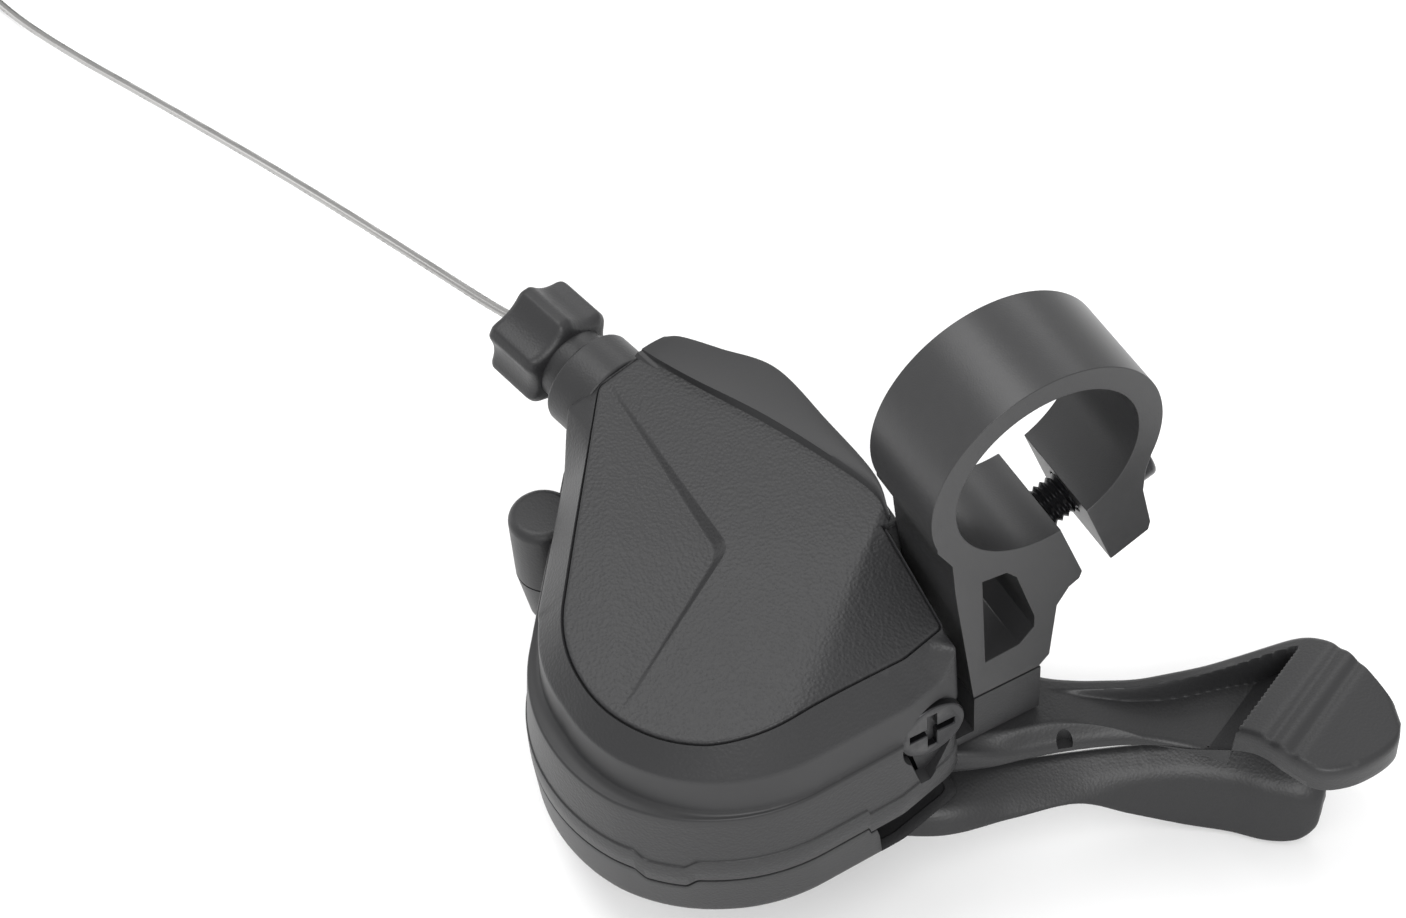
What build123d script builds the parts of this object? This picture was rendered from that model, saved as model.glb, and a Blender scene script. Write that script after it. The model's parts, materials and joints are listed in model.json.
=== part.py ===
"""Two-lever thumb shifter for a 22.2 mm handlebar, left hand, as separate pieces.

Frame, in mm: the origin is the centre of the clamp bore. +X runs along the handlebar towards
the grip, +Y points at the rider, and +Z is up, along the axle that the levers turn on.
"""

from build123d import *
from math import acos, atan2, cos, degrees, hypot, radians, sin
import os

# ---- handlebar clamp
bar_d = 22.2            # handlebar diameter
bar_clearance = 0.05    # radial, with the clamp closed
clamp_width = 12.45
band_wall = 3.0
split_gap = 3.4
split_angle = -71.4     # direction of the split, in the YZ plane
neck_bottom = -34.2     # where the neck stands on the frame block
bolt_d = 5.0            # M5 pinch bolt
bolt_fit = 0.25         # radial, through the outer lug
thread_fit = 0.03       # radial, between threads that are drawn plain
thread_depth = 11.0     # from the middle of the split into the neck
bolt_out = 1.2          # the bolt's axis lies this far outside the band
head_seat = 7.2         # from the middle of the split to under the bolt's head
bolt_head_r = 4.1
bolt_head_h = 4.0
foot_screw_r = 2.0      # holds the neck on the frame block, from below
foot_y = -4.4
foot_screw_length = 11.0

# ---- pod that holds the mechanism
axle_x, axle_y = -10.3, -32.0
pod_r = 20.2            # round front of the pod, at its crease
pod_flare = 1.8         # the pod is this much wider at the seam
wall = 1.6
seam_z = -40.6          # where the top cover meets the lower cover
web_z = -42.0           # underside of the frame's web
crease_z = -24.0
skirt_top_z = -29.5
top_z = -17.2           # height of the top panel's plane at top_y
top_y = -28.0
top_slope = 0.20        # the top panel rises towards the rider
shoulder_run = 3.8      # the sloping band round the top panel
shoulder_rise = 3.4
fin_height = 1.4
recess_depth = 0.6
pod_back_y = -10.6
pod_end_y = -17.0       # where the rider's side of the pod turns in towards the clamp
neck_y = -11.2
neck_gap = 0.9          # between the cover and the neck of the clamp
pod_tail_x = -44.9      # the end of the pod that the cable leaves by
floor_z = -48.0         # underside of the lower cover
floor_t = 1.2
seam_gap = 0.25
slip = 0.3              # clearance between parts that move past each other
end_screw_y, end_screw_z = -16.0, -31.0
end_screw_r = 4.1
end_screw_shank_r = 1.5
end_screw_length = 4.8
cover_screw_r = 2.6
boss_x, boss_y, boss_r = -38.2, -39.6, 4.0
boss_top, boss_seam, boss_bottom = -28.6, -38.4, -45.6
boss_round = 1.2

# ---- axle stack, from the top downwards
axle_r = 3.0
run_fit = 0.05          # radial running clearance
nut_top = -20.9
nut_t = 1.6
bridge_t = 1.1
bridge_reach = 14.2     # the bridge's legs stand this far from the axle
spool_core_r = 9.9
spool_flange_r = 12.0
spool_flange_t = 1.0
spool_groove = 3.3
ratchet_t = 1.6
ratchet_r = 12.2
ratchet_root_r = 11.3
ratchet_teeth = 30
driver_t = 1.4
sleeve_wall = 1.9
plate_t = 1.2
web_t = 1.4
release_t = 3.6
main_t = 3.9
axle_head_r = 5.6
axle_head_t = 1.8
pawl_pin_r = 1.4
drive_pawl_at = 78.0    # degrees round the axle
hold_pawl_at = 245.0
pawl_offset = 15.4      # pawl pins stand this far from the axle
pawl_clear = 0.45       # the holding pawl rests this far outside the teeth
spring_wire_r = 0.45
release_wire_r = 0.4
release_spring_r = 1.5
release_spring_length = 9.0
release_spring_at = (-33.0, -33.0)

# ---- levers
lever_gap = 0.5         # between the lower cover and the main lever
pad_drop = 5.4          # the main lever's pad hangs this far below its arm
pad_rise = 6.6          # the release lever's pad stands this far above its arm
release_hole_r = 0.95
release_hole = (10.6, 0.8)
release_tab_at = 150.0  # degrees round the axle
release_hub_r = 8.5
main_hub_r = 10.5

# ---- cable and its adjuster
cable_d = 1.2
nipple_r = 1.9
nipple_at = -20.0       # degrees round the axle
adjuster_at = (-52.0, -28.1, -22.6)  # middle of the knob's inner end
adjuster_yaw = 13.0
adjuster_pitch = 4.0    # the axis drops towards the pod
knob_length = 8.0
knob_r = 6.6
knob_lobes = 6
knob_scallop_r = 6.0
knob_scallop_depth = 1.1
knob_neck_r = 4.6
knob_neck_length = 2.6
stem_r = 2.9
stem_length = 14.0
outlet_r = 6.2
outlet_length = 13.0
outlet_collar = 8.6     # from the knob's inner end to the pod
socket_r = 4.0
adjuster_bore_r = 1.5
coil_r = 16.0
coil_bundle_r = 3.1
cap_r = 1.0
cap_length = 9.0
# The free cable's route, from inside the knob to the coil of spare length.
cable_route = [
    (-51.0, -27.87, -22.67), (-61.2, -30.8, -22.6), (-76.0, -34.9, -24.6), (-92.8, -38.8, -28.2),
    (-110.6, -42.4, -33.2), (-129.0, -46.0, -39.1), (-147.6, -49.6, -45.3), (-166.0, -53.2, -51.5),
    (-184.5, -56.5, -56.9), (-197.0, -58.6, -57.4), (-208.5, -60.0, -57.35),
]

# ---- worked out from the sizes above
bore_r = bar_d / 2 + bar_clearance
band_r = bore_r + band_wall
half_w = clamp_width / 2
neck_face_y = neck_y - neck_gap
bridge_top = nut_top - nut_t - 0.1
bridge_bottom = bridge_top - bridge_t
spool_top = bridge_bottom - slip
spool_bottom = spool_top - 2 * spool_flange_t - spool_groove
cable_z = spool_top - spool_flange_t - spool_groove / 2
ratchet_bottom = spool_bottom - ratchet_t
driver_top = ratchet_bottom - slip
driver_bottom = driver_top - driver_t
sleeve_r = axle_r + sleeve_wall
web_top = web_z + web_t
plate_top = web_top + plate_t
release_top = web_z - 0.4
release_bottom = release_top - release_t
main_top = floor_z - lever_gap
main_bottom = main_top - main_t
head_top = main_bottom - slip
pawl_low, pawl_high = ratchet_bottom + 0.1, spool_bottom - 0.1
wrap_r = spool_core_r + cable_d / 2 + run_fit
tooth = 360 / ratchet_teeth


def disc(radius, low, high, x=axle_x, y=axle_y):
    """An upright cylinder between two heights."""
    return Pos(x, y, (low + high) / 2) * Cylinder(radius, high - low)


def washer(outer, inner, low, high, x=axle_x, y=axle_y):
    return disc(outer, low, high, x, y) - disc(inner, low - 1, high + 1, x, y)


def slab(points, low, high):
    """A closed outline of XY points, between two heights."""
    return extrude(Pos(0, 0, low) * make_face(Polyline(*points, close=True)), high - low)


def around(angle, radius):
    """The XY point at an angle and a distance from the axle."""
    return (axle_x + radius * cos(radians(angle)), axle_y + radius * sin(radians(angle)))


def sector(low_angle, high_angle, inner, outer, low, high):
    """Part of a ring round the axle."""
    middle = (low_angle + high_angle) / 2
    far = ThreePointArc(around(low_angle, outer), around(middle, outer), around(high_angle, outer))
    near = ThreePointArc(around(high_angle, inner), around(middle, inner), around(low_angle, inner))
    sides = [Line(far @ 1, near @ 0), Line(near @ 1, far @ 0)]
    return extrude(Pos(0, 0, low) * make_face([far, sides[0], near, sides[1]]), high - low)


def across_clamp(face):
    """A face drawn with its X for Y and its Y for Z, made as wide as the clamp."""
    return extrude(Plane(origin=(-half_w, 0, 0), x_dir=(0, 1, 0), z_dir=(1, 0, 0)) * face, clamp_width)


def across_clamp_outline(points):
    return across_clamp(make_face(Polyline(*points, close=True)))


def coil_spring(radius, wire_r, low, high, turns, x=axle_x, y=axle_y):
    """A helical spring with round wire, on an upright axis."""
    height = high - low - 2 * wire_r
    path = Helix(pitch=height / turns, height=height, radius=radius)
    wire = Plane(origin=path @ 0, z_dir=path % 0) * Circle(wire_r)
    return Pos(x, y, low + wire_r) * sweep(wire, path=path)


def save(node, solid):
    solid.label = node
    export_step(solid, f"parts/{node}.step")


# ---- clamp
def at_pinch_bolt():
    """A frame at the pinch bolt: X runs out along the split, Z from the neck towards the bolt's head."""
    angle = radians(split_angle)
    out = Vector(0, cos(angle), sin(angle))
    return Plane(origin=out * (band_r + bolt_out), x_dir=out, z_dir=(0, -sin(angle), cos(angle)))


def clamp_band():
    neck = [(0.4 - band_r, 0), (-13.4, -5.0), (-11.6, -8.4), (neck_y, -13.3), (-10.8, -17.0),
            (-8.7, neck_bottom), (-0.1, neck_bottom), (1.2, neck_bottom + 1.3), (1.9, -24.4), (3.4, -22.0),
            (4.7, -21.3), (8.0, -11.0), (0, -2)]
    outer_lug = [(3.0, -6.0), (6.9, -20.2), (8.9, -20.5), (13.5, -18.5), (13.7, -17.2), (12.4, -11.0),
                 (12.5, -7.8), (13.3, -4.6), (9.0, -2.0)]
    pocket = [(-7.8, -13.6), (-4.8, -14.0), (-3.5, -15.7), (-1.0, -24.4), (-1.0, -26.2), (-2.9, -28.2),
              (-7.2, -28.5)]
    band = across_clamp(Circle(band_r)) + across_clamp_outline(neck) + across_clamp_outline(outer_lug)
    band -= across_clamp_outline(pocket) + across_clamp(Circle(bore_r))
    at = at_pinch_bolt()
    band -= at * Pos(4, 0, 0) * Box(3 * band_wall + 14, 2 * clamp_width, split_gap)
    band -= at * Pos(0, 0, 15) * Cylinder(bolt_d / 2 + bolt_fit, 30)
    band -= at * Pos(0, 0, -thread_depth / 2) * Cylinder(bolt_d / 2 + thread_fit, thread_depth)
    band -= at * Pos(0, 0, head_seat + 10) * Cylinder(bolt_head_r + bolt_fit, 20)
    foot = disc(foot_screw_r + thread_fit, neck_bottom - 1, neck_bottom + 5, 0, foot_y)
    return band - foot


def clamp_bolt():
    at = at_pinch_bolt()
    low = slip - thread_depth
    shank = at * Pos(0, 0, (head_seat + low) / 2) * Cylinder(bolt_d / 2, head_seat - low)
    head = at * Pos(0, 0, head_seat + bolt_head_h / 2) * Cylinder(bolt_head_r, bolt_head_h)
    socket = at * Pos(0, 0, head_seat + bolt_head_h) * extrude(RegularPolygon(2.3, 6), -2.4)
    return shank + head - socket


def bracket_screw():
    shank_top = neck_bottom + 5 - slip
    low = shank_top - foot_screw_length
    shank = disc(foot_screw_r, low, shank_top, 0, foot_y)
    return shank + disc(foot_screw_r + 1.5, low, low + 1.6, 0, foot_y)


# ---- pod
def pod_face(grow=0.0):
    """The pod's plan: a round front that runs into a tapering tail, stepped round the clamp's neck."""
    r = pod_r + grow
    out = grow if grow < 0 else 0.2 * grow
    tail_x, tail_y = pod_tail_x + 2.8 - out, -31.2 - out
    away = degrees(atan2(tail_y - axle_y, tail_x - axle_x)) % 360
    touch = away + degrees(acos(r / hypot(tail_x - axle_x, tail_y - axle_y)))
    front = ThreePointArc(around(touch, r), around((touch + 360) / 2, r), around(360, r))
    right, step, back = axle_x + r, -half_w - 0.7 - out, pod_back_y + out
    near_neck = neck_face_y + out
    rest = [front @ 1, (right, pod_end_y + 0.6 + out), (half_w + 2.2, near_neck), (step, near_neck),
            (step, back), (-31.5, back), (pod_tail_x + 0.8 - out, pod_end_y + out), (pod_tail_x - out, -19.0),
            (pod_tail_x + 1.2 - out, -28.0), (tail_x, tail_y), front @ 0]
    return make_face([front] + [Line(a, b) for a, b in zip(rest, rest[1:])])


def under_top(lift=0.0):
    """Everything under the top panel's sloping plane, and under the slope beside the clamp."""
    panel = Plane(origin=(axle_x, top_y, top_z + lift), x_dir=(1, 0, 0), z_dir=(0, -top_slope, 1))
    beside = Plane(origin=(6.0, -13.0, -17.4 + lift), z_dir=(0.28, 0.31, 0.91))
    return [plane * Pos(0, 0, -60) * Box(240, 240, 120) for plane in (panel, beside)]


def pod_form(shrink=0.0):
    """The cover's outer form, or the same form smaller all round by shrink."""
    skirt_face = Pos(0, 0, seam_z - 1) * pod_face(pod_flare - shrink)
    skirt = extrude(skirt_face, skirt_top_z - shrink - seam_z + 1)
    low = crease_z - shrink
    body = extrude(Pos(0, 0, seam_z - 1) * pod_face(-shrink), low - seam_z + 1)
    inner_face = pod_face(-shrink - shoulder_run)
    body += loft([Pos(0, 0, low) * pod_face(-shrink), Pos(0, 0, low + shoulder_rise) * inner_face], ruled=True)
    body += extrude(Pos(0, 0, low) * inner_face, 16)
    back_block = Pos(-20, pod_back_y, 0) * Box(120, 24, 200)
    body += extrude(Pos(0, 0, low) * pod_face(-shrink), 16) & back_block
    for half in under_top(-shrink):
        body &= half
    return skirt + body


def fin():
    """The raised strip along the cover's back edge."""
    strip = slab([(pod_tail_x + 0.4, -21.4), (pod_tail_x + 0.8, pod_end_y), (-31.5, pod_back_y),
                  (-7.0, pod_back_y), (-7.6, -12.4), (-28.2, -15.4)], crease_z, -5)
    return strip & under_top(fin_height)[0]


def recess():
    """The shallow recess in the left of the top panel, with its V-shaped edge."""
    outline = [(-43.6, -28.2), (-15.6, -26.9), (-13.6, -28.6), (-4.0, -46.2), (-14.0, -46.2), (-28.0, -38.4)]
    return slab(outline, -40, 0) - under_top(-recess_depth)[0]


def on_outlet_axis(along):
    """A place on the adjuster's axis, along mm from the knob's inner end towards the pod."""
    yaw, pitch = radians(adjuster_yaw), radians(adjuster_pitch)
    axis = Vector(cos(yaw) * cos(pitch), sin(yaw) * cos(pitch), -sin(pitch))
    return Plane(origin=Vector(*adjuster_at) + axis * along, z_dir=axis)


def top_cover():
    shell = pod_form() + fin() - recess()
    shell -= Pos(0, 0, seam_z - 5) * Box(300, 300, 10)
    shell -= pod_form(wall)
    shell -= on_outlet_axis(outlet_collar) * Cylinder(socket_r + seam_gap, 2 * outlet_length)
    shell -= on_outlet_axis(0) * Cylinder(outlet_r + seam_gap, 2 * outlet_collar)
    shell -= disc(boss_r + seam_gap, seam_z - 1, boss_top + 6, boss_x, boss_y)
    shell -= boss_arm(seam_gap) + neck_arm(seam_gap)
    at_screw = Pos(0, end_screw_y, end_screw_z) * Rot(0, 90, 0)
    shell -= at_screw * Pos(0, 0, axle_x + pod_r) * Cylinder(end_screw_r + seam_gap, 2 * (pod_flare + 3.5))
    return shell


def lower_cover():
    """The shallow tray under the mechanism, open towards the levers."""
    outside = extrude(Pos(0, 0, floor_z) * pod_face(pod_flare), seam_z - seam_gap - floor_z)
    inside = extrude(Pos(0, 0, floor_z + floor_t) * pod_face(pod_flare - wall), 20)
    rim = outside.faces().sort_by(Axis.Z)[0].edges()
    tray = chamfer(rim, 1.4) - inside
    tray -= sector(20, 112, release_hub_r + 2, 60, floor_z + floor_t, seam_z + 1)
    tray -= disc(sleeve_r + slip, floor_z - 1, floor_z + 3)
    tray -= disc(boss_r + seam_gap, floor_z - 1, seam_z + 1, boss_x, boss_y)
    tray -= boss_arm(seam_gap) + neck_arm(seam_gap)
    for x, y in cover_screws_at:
        tray += disc(cover_screw_r, floor_z, web_z - seam_gap, x, y)
        tray -= disc(1.5 + run_fit, floor_z - 1, seam_z + 1, x, y)
        tray -= disc(cover_screw_r - 0.3, floor_z - 1, floor_z + 1.4, x, y)
    return tray


cover_screws_at = [around(214, 16.6), around(302, 16.6), (-33.0, -22.0)]


def lower_cover_screws():
    screws = []
    for x, y in cover_screws_at:
        screw = disc(cover_screw_r - 0.4, floor_z + 0.1, floor_z + 1.3, x, y)
        screws.append(screw + disc(1.5, floor_z + 0.1, web_top + 3, x, y))
    return Compound(children=screws)


def boss_arm(gap=0.0):
    """The arm that joins the side boss to the web, through the cover's edge."""
    place = Pos(boss_x + 4, boss_y + 4, (web_z + web_top) / 2) * Rot(0, 0, 45)
    return place * Box(12, 5 + 2 * gap, web_t + 2 * gap)


def neck_arm(gap=0.0):
    """The arm that joins the block under the clamp to the web, through the cover's edge."""
    return Pos(0, -11, (web_z + web_top) / 2) * Box(clamp_width + 2 * gap, 12, web_t + 2 * gap)


def frame_body():
    """The moulded frame: the block under the clamp, the web under the mechanism and the boss beside it."""
    block = Pos(0, (-8.6 + 0.1) / 2, (neck_bottom - 0.3 + web_z) / 2) * Box(
        clamp_width, 8.7, neck_bottom - 0.3 - web_z)
    web = extrude(Pos(0, 0, web_z) * pod_face(-wall - seam_gap), web_t)
    frame = block + web + neck_arm() + boss_arm()
    boss = disc(boss_r, boss_seam, boss_top, boss_x, boss_y)
    frame += fillet(boss.edges().sort_by(Axis.Z)[-1:], boss_round)
    frame += disc(boss_r - 0.6, web_z, boss_seam, boss_x, boss_y)
    frame -= disc(sleeve_r + slip, web_z - 1, web_top + 1)
    frame -= sector(release_tab_at - 18, release_tab_at + 16, 15.6, 18.6, web_z - 1, web_top + 1)
    for x, y in cover_screws_at:
        frame += disc(cover_screw_r, web_top, web_top + 3.4, x, y)
        frame -= disc(1.5 + run_fit, web_z - 1, web_top + 5, x, y)
    screw_top = neck_bottom + 5 - slip
    frame -= disc(foot_screw_r + run_fit, web_z - 1, neck_bottom + 1, 0, foot_y)
    frame -= disc(foot_screw_r + 1.7, web_z - 1, screw_top - foot_screw_length + 1.7, 0, foot_y)
    lug_y = neck_face_y - wall - seam_gap - 2.6
    lug = Pos(3.0, lug_y, (web_top + end_screw_z + 3) / 2) * Box(5.0, 5.2, end_screw_z + 3 - web_top)
    lug -= disc(pawl_offset + 2.7 + slip, web_top, 0)
    hole = Pos(3, end_screw_y, end_screw_z) * Rot(0, 90, 0) * Cylinder(end_screw_shank_r + thread_fit, 20)
    frame += lug - hole
    return frame


def side_boss_cap():
    """The tapered lower half of the boss beside the pod."""
    cap = Pos(boss_x, boss_y, 0) * loft([Pos(0, 0, boss_bottom) * Circle(boss_r - 1.0),
                                         Pos(0, 0, boss_seam - seam_gap) * Circle(boss_r)])
    return cap - disc(boss_r - 0.6 + run_fit, web_z, boss_seam + 1, boss_x, boss_y) - boss_arm(seam_gap)


def cover_screw():
    """The cross-slotted screw in the end of the cover, along the bar."""
    at = Pos(0, end_screw_y, end_screw_z) * Rot(0, 90, 0)
    face = axle_x + pod_r - 0.4
    head = at * Pos(0, 0, face - 1.0) * Cylinder(end_screw_r, 2.0)
    shank = at * Pos(0, 0, face - 1.5 - end_screw_length / 2) * Cylinder(end_screw_shank_r, end_screw_length)
    slots = [at * Pos(0, 0, face) * Rot(0, 0, a) * Box(5.6, 1.1, 2.2) for a in (0, 90)]
    return head + shank - slots


# ---- mechanism
def base_plate():
    plate = washer(12.8, sleeve_r + slip, web_top, plate_top)
    for angle in (0, 180):
        plate += Pos(*around(angle, bridge_reach - 2), (web_top + plate_top) / 2) * Box(8, 8, plate_t)
    hold = around(hold_pawl_at, pawl_offset)
    plate += disc(3.2, web_top, plate_top, *hold) - disc(pawl_pin_r + thread_fit, -50, 0, *hold)
    ear = Pos(*around(hold_pawl_at, pawl_offset - 3), (web_top + plate_top) / 2) * Box(4, 4, plate_t)
    return plate + (ear - disc(pawl_pin_r + thread_fit, -50, 0, *hold) - disc(sleeve_r + slip, -50, 0))


def axle_bridge():
    """The steel strap over the spool that steadies the top of the axle."""
    top = Pos(axle_x, axle_y, (bridge_top + bridge_bottom) / 2) * Box(2 * bridge_reach, 8, bridge_t)
    legs = [Pos(*around(a, bridge_reach - bridge_t / 2), (bridge_top + plate_top) / 2) * Box(
        bridge_t, 8, bridge_top - plate_top) for a in (0, 180)]
    return top + legs - disc(axle_r + thread_fit, -40, 0)


def main_axle():
    axle = disc(axle_r, head_top, nut_top) + disc(axle_head_r, head_top - axle_head_t, head_top)
    return axle - Pos(axle_x, axle_y, head_top - axle_head_t) * extrude(RegularPolygon(2.3, 6), 2.0)


def axle_nut():
    hexagon = Pos(axle_x, axle_y, nut_top - nut_t) * extrude(RegularPolygon(4.9, 6), nut_t)
    return hexagon - disc(axle_r + thread_fit, -40, 0)


def lever_sleeve():
    """The steel sleeve and driver plate that carry the thumb's push up to the drive pawl."""
    sleeve = washer(sleeve_r, axle_r + run_fit, main_bottom, driver_top)
    plate = washer(9.0, axle_r + run_fit, driver_bottom, driver_top)
    pin = around(drive_pawl_at, pawl_offset)
    middle = around(drive_pawl_at, 11)
    arm = Pos(*middle, (driver_bottom + driver_top) / 2) * Rot(0, 0, drive_pawl_at) * Box(9, 5.4, driver_t)
    end = disc(2.7, driver_bottom, driver_top, *pin)
    return sleeve + plate + (arm + end - disc(pawl_pin_r + thread_fit, -50, 0, *pin) - disc(sleeve_r, -50, 0))


def pawl(at_angle, side, engaged):
    """A pawl on its pin, whose tip points back at the ratchet wheel, in a tooth or just clear of it."""
    pin = around(at_angle, pawl_offset)
    tip_angle = at_angle + side * 21.0
    tip_angle = round(tip_angle / tooth) * tooth + side * 0.1 * tooth if engaged else tip_angle
    tip_r = ratchet_root_r + slip if engaged else ratchet_r + pawl_clear
    heel = around(tip_angle - side * 4.5, ratchet_r + 3.0)
    outline = [around(tip_angle, tip_r), around(tip_angle + side * 2.0, tip_r + 1.7), heel,
               around(at_angle, pawl_offset + 1.5), around(at_angle, pawl_offset - 1.5),
               around(tip_angle - side * 6.0, ratchet_r + 0.8)]
    body = slab(outline, pawl_low, pawl_high) + disc(2.3, pawl_low, pawl_high, *pin)
    return body - disc(pawl_pin_r + run_fit, -50, 0, *pin)


def pawl_pin(at_angle, low):
    pin = around(at_angle, pawl_offset)
    return disc(pawl_pin_r, low, pawl_high + 0.5, *pin)


def cable_spool():
    spool = disc(spool_flange_r, spool_bottom, spool_bottom + spool_flange_t)
    spool += disc(spool_core_r, spool_bottom, spool_top)
    spool += disc(spool_flange_r, spool_top - spool_flange_t, spool_top)
    spool -= disc(axle_r + run_fit, -50, 0)
    pocket = around(nipple_at, spool_core_r - nipple_r)
    return spool - disc(nipple_r + run_fit, cable_z - 1.9, 0, *pocket)


def cable_head():
    pocket = around(nipple_at, spool_core_r - nipple_r)
    return disc(nipple_r, cable_z - 1.8, spool_top - 0.2, *pocket)


def cable_wrap():
    """The turn of cable that lies in the spool's groove, from beside the nipple to where it leaves."""
    path = ThreePointArc(around(nipple_at + 12, wrap_r), around(40, wrap_r), around(96, wrap_r))
    return Pos(0, 0, cable_z) * sweep(Plane(origin=path @ 0, z_dir=path % 0) * Circle(cable_d / 2), path=path)


def ratchet_wheel():
    points = []
    for i in range(ratchet_teeth):
        points += [around(i * tooth, ratchet_root_r), around((i + 0.75) * tooth, ratchet_r)]
    return slab(points, ratchet_bottom, spool_bottom) - disc(axle_r + run_fit, -50, 0)


def release_lever():
    """The upper lever: a hub round the sleeve, a dished arm, and a thumb pad that rises at its end."""
    outline = [(-1.6, 0.4), (2.6, 2.6), (5.6, 6.6), (8.6, 11.8), (10.6, 18.0), (12.0, 24.4), (14.2, 30.2),
               (17.6, 33.6), (25.0, 34.0), (30.2, 31.2), (32.0, 27.6), (30.4, 20.4), (23.6, 16.4),
               (16.9, 11.8), (13.6, 6.2), (11.2, 0.4), (9.2, -7.2), (4.6, -15.0)]
    arm = slab([around(150, release_hub_r), *outline, around(-30, release_hub_r)], release_bottom, release_top)
    lever = arm + disc(release_hub_r, release_bottom, release_top)
    pad = slab([(13.0, 26.4), (14.2, 30.2), (17.6, 33.6), (25.0, 34.0), (30.2, 31.2), (32.0, 27.6),
                (30.4, 20.4), (23.6, 16.4), (20.6, 18.6), (17.6, 25.4)], release_bottom - 0.2, release_top + pad_rise)
    slope = Plane(origin=(14.0, 27.0, release_top + 2.4), z_dir=(-0.36, -0.14, 0.92))
    pad &= slope * Pos(0, 0, -40) * Box(120, 120, 80)
    dish = slab([(9.0, 5.4), (11.4, 10.0), (12.8, 17.6), (14.0, 24.0), (18.2, 22.4), (17.6, 17.2),
                 (14.4, 12.0), (10.8, 4.8)], release_bottom + 1.2, 0)
    lever = lever + (pad - dish) - dish
    lever -= disc(sleeve_r + slip, -60, 0)
    lever -= disc(release_hole_r, release_bottom + 1.0, 0, *release_hole)
    tab = sector(release_tab_at - 3, release_tab_at + 3, 16.2, 18.0, release_bottom, plate_top + 3.6)
    reach = sector(release_tab_at - 8, release_tab_at + 8, release_hub_r - 1, 18.0, release_bottom, release_top)
    return lever + tab + reach



def main_lever():
    """The lower lever: a hub plate, a curved arm and a thumb pad that hangs below it."""
    outline = [(5.2, -7.8), (7.2, -2.8), (9.4, 3.1), (11.8, 8.7), (14.5, 14.3), (17.4, 19.3), (20.2, 23.0),
               (24.6, 25.2), (27.0, 25.0), (29.2, 21.6), (28.6, 18.2), (25.0, 15.0), (21.0, 10.4),
               (16.6, 2.6), (13.4, -6.4), (12.4, -16.6)]
    plate = slab([around(96, main_hub_r), *outline, around(-14, main_hub_r)], main_bottom, main_top)
    plate += disc(main_hub_r, main_bottom, main_top)
    pad = slab([(16.4, 14.4), (20.2, 23.0), (24.6, 25.2), (27.0, 25.0), (29.2, 21.6), (28.6, 18.2),
                (25.0, 15.0), (21.0, 10.4), (16.0, 4.0)], main_bottom - pad_drop, main_top)
    slope = Plane(origin=(16.0, 5.0, main_bottom), z_dir=(-0.36, -0.42, -0.83))
    pad &= slope * Pos(0, 0, -40) * Box(120, 120, 80)
    return plate + pad - disc(sleeve_r + 0.02, -70, 0)


def return_spring():
    return coil_spring(sleeve_r + 1.6, spring_wire_r, plate_top + 0.1, driver_bottom - 0.1, 4)


def release_spring():
    """The tension spring that centres the release lever, lying in the lower cover."""
    path = Helix(pitch=1.5, height=release_spring_length, radius=release_spring_r)
    wire = Plane(origin=path @ 0, z_dir=path % 0) * Circle(release_wire_r)
    middle = (release_bottom + release_top) / 2
    coils = sweep(wire, path=path, is_frenet=True)
    return Pos(*release_spring_at, middle) * Rot(0, 90, 0) * coils


# ---- cable and adjuster
def barrel_adjuster():
    """The lobed knob that the fingers turn, with its neck."""
    ring = Circle(knob_r)
    for i in range(knob_lobes):
        turn = Rot(0, 0, 360 / knob_lobes * (i + 0.5))
        ring -= turn * Pos(knob_r + knob_scallop_r - knob_scallop_depth, 0) * Circle(knob_scallop_r)
    knob = on_outlet_axis(-knob_length) * extrude(ring, knob_length)
    knob += on_outlet_axis(knob_neck_length / 2) * Cylinder(knob_neck_r, knob_neck_length)
    return knob - on_outlet_axis(0) * Cylinder(stem_r, 40)


def adjuster_stem():
    """The threaded tube that is pressed into the knob and screws into the outlet."""
    length = knob_length - 0.6 + stem_length
    stem = on_outlet_axis(stem_length - length / 2) * Cylinder(stem_r, length)
    return stem - on_outlet_axis(0) * Cylinder(adjuster_bore_r, 60)


def cable_outlet():
    """The collar on the end of the pod that the adjuster screws into."""
    start = knob_neck_length + slip
    collar = on_outlet_axis((start + outlet_collar - seam_gap) / 2) * Cylinder(
        outlet_r, outlet_collar - seam_gap - start)
    socket = on_outlet_axis(start + outlet_length / 2) * Cylinder(socket_r, outlet_length)
    return collar + socket - on_outlet_axis(0) * Cylinder(stem_r + run_fit, 60)


def inner_run():
    """The cable between the spool and the adjuster, inside the pod."""
    start = Vector(*around(99, wrap_r), cable_z)
    end = Vector(*cable_route[0]) + on_outlet_axis(0).z_dir * 0.05
    return sweep(Plane(origin=start, z_dir=end - start) * Circle(cable_d / 2), path=Line(start, end))


def bend_radii(route):
    """The largest radius that each corner's two runs allow."""
    points = [Vector(*p) for p in route]
    radii = []
    for a, b, c in zip(points, points[1:], points[2:]):
        turn = radians((b - a).get_angle(c - b))
        radii.append(0.45 * min((b - a).length, (c - b).length) * cos(turn / 2) / sin(turn / 2))
    return radii


def shift_cable():
    radii = bend_radii(cable_route)
    path = FilletPolyline(*cable_route, radius=radii)
    print("cable: length %.1f, radii %s" % (path.length, [round(r) for r in radii]))
    return sweep(Plane(origin=path @ 0, z_dir=path % 0) * Circle(cable_d / 2), path=path)


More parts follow.
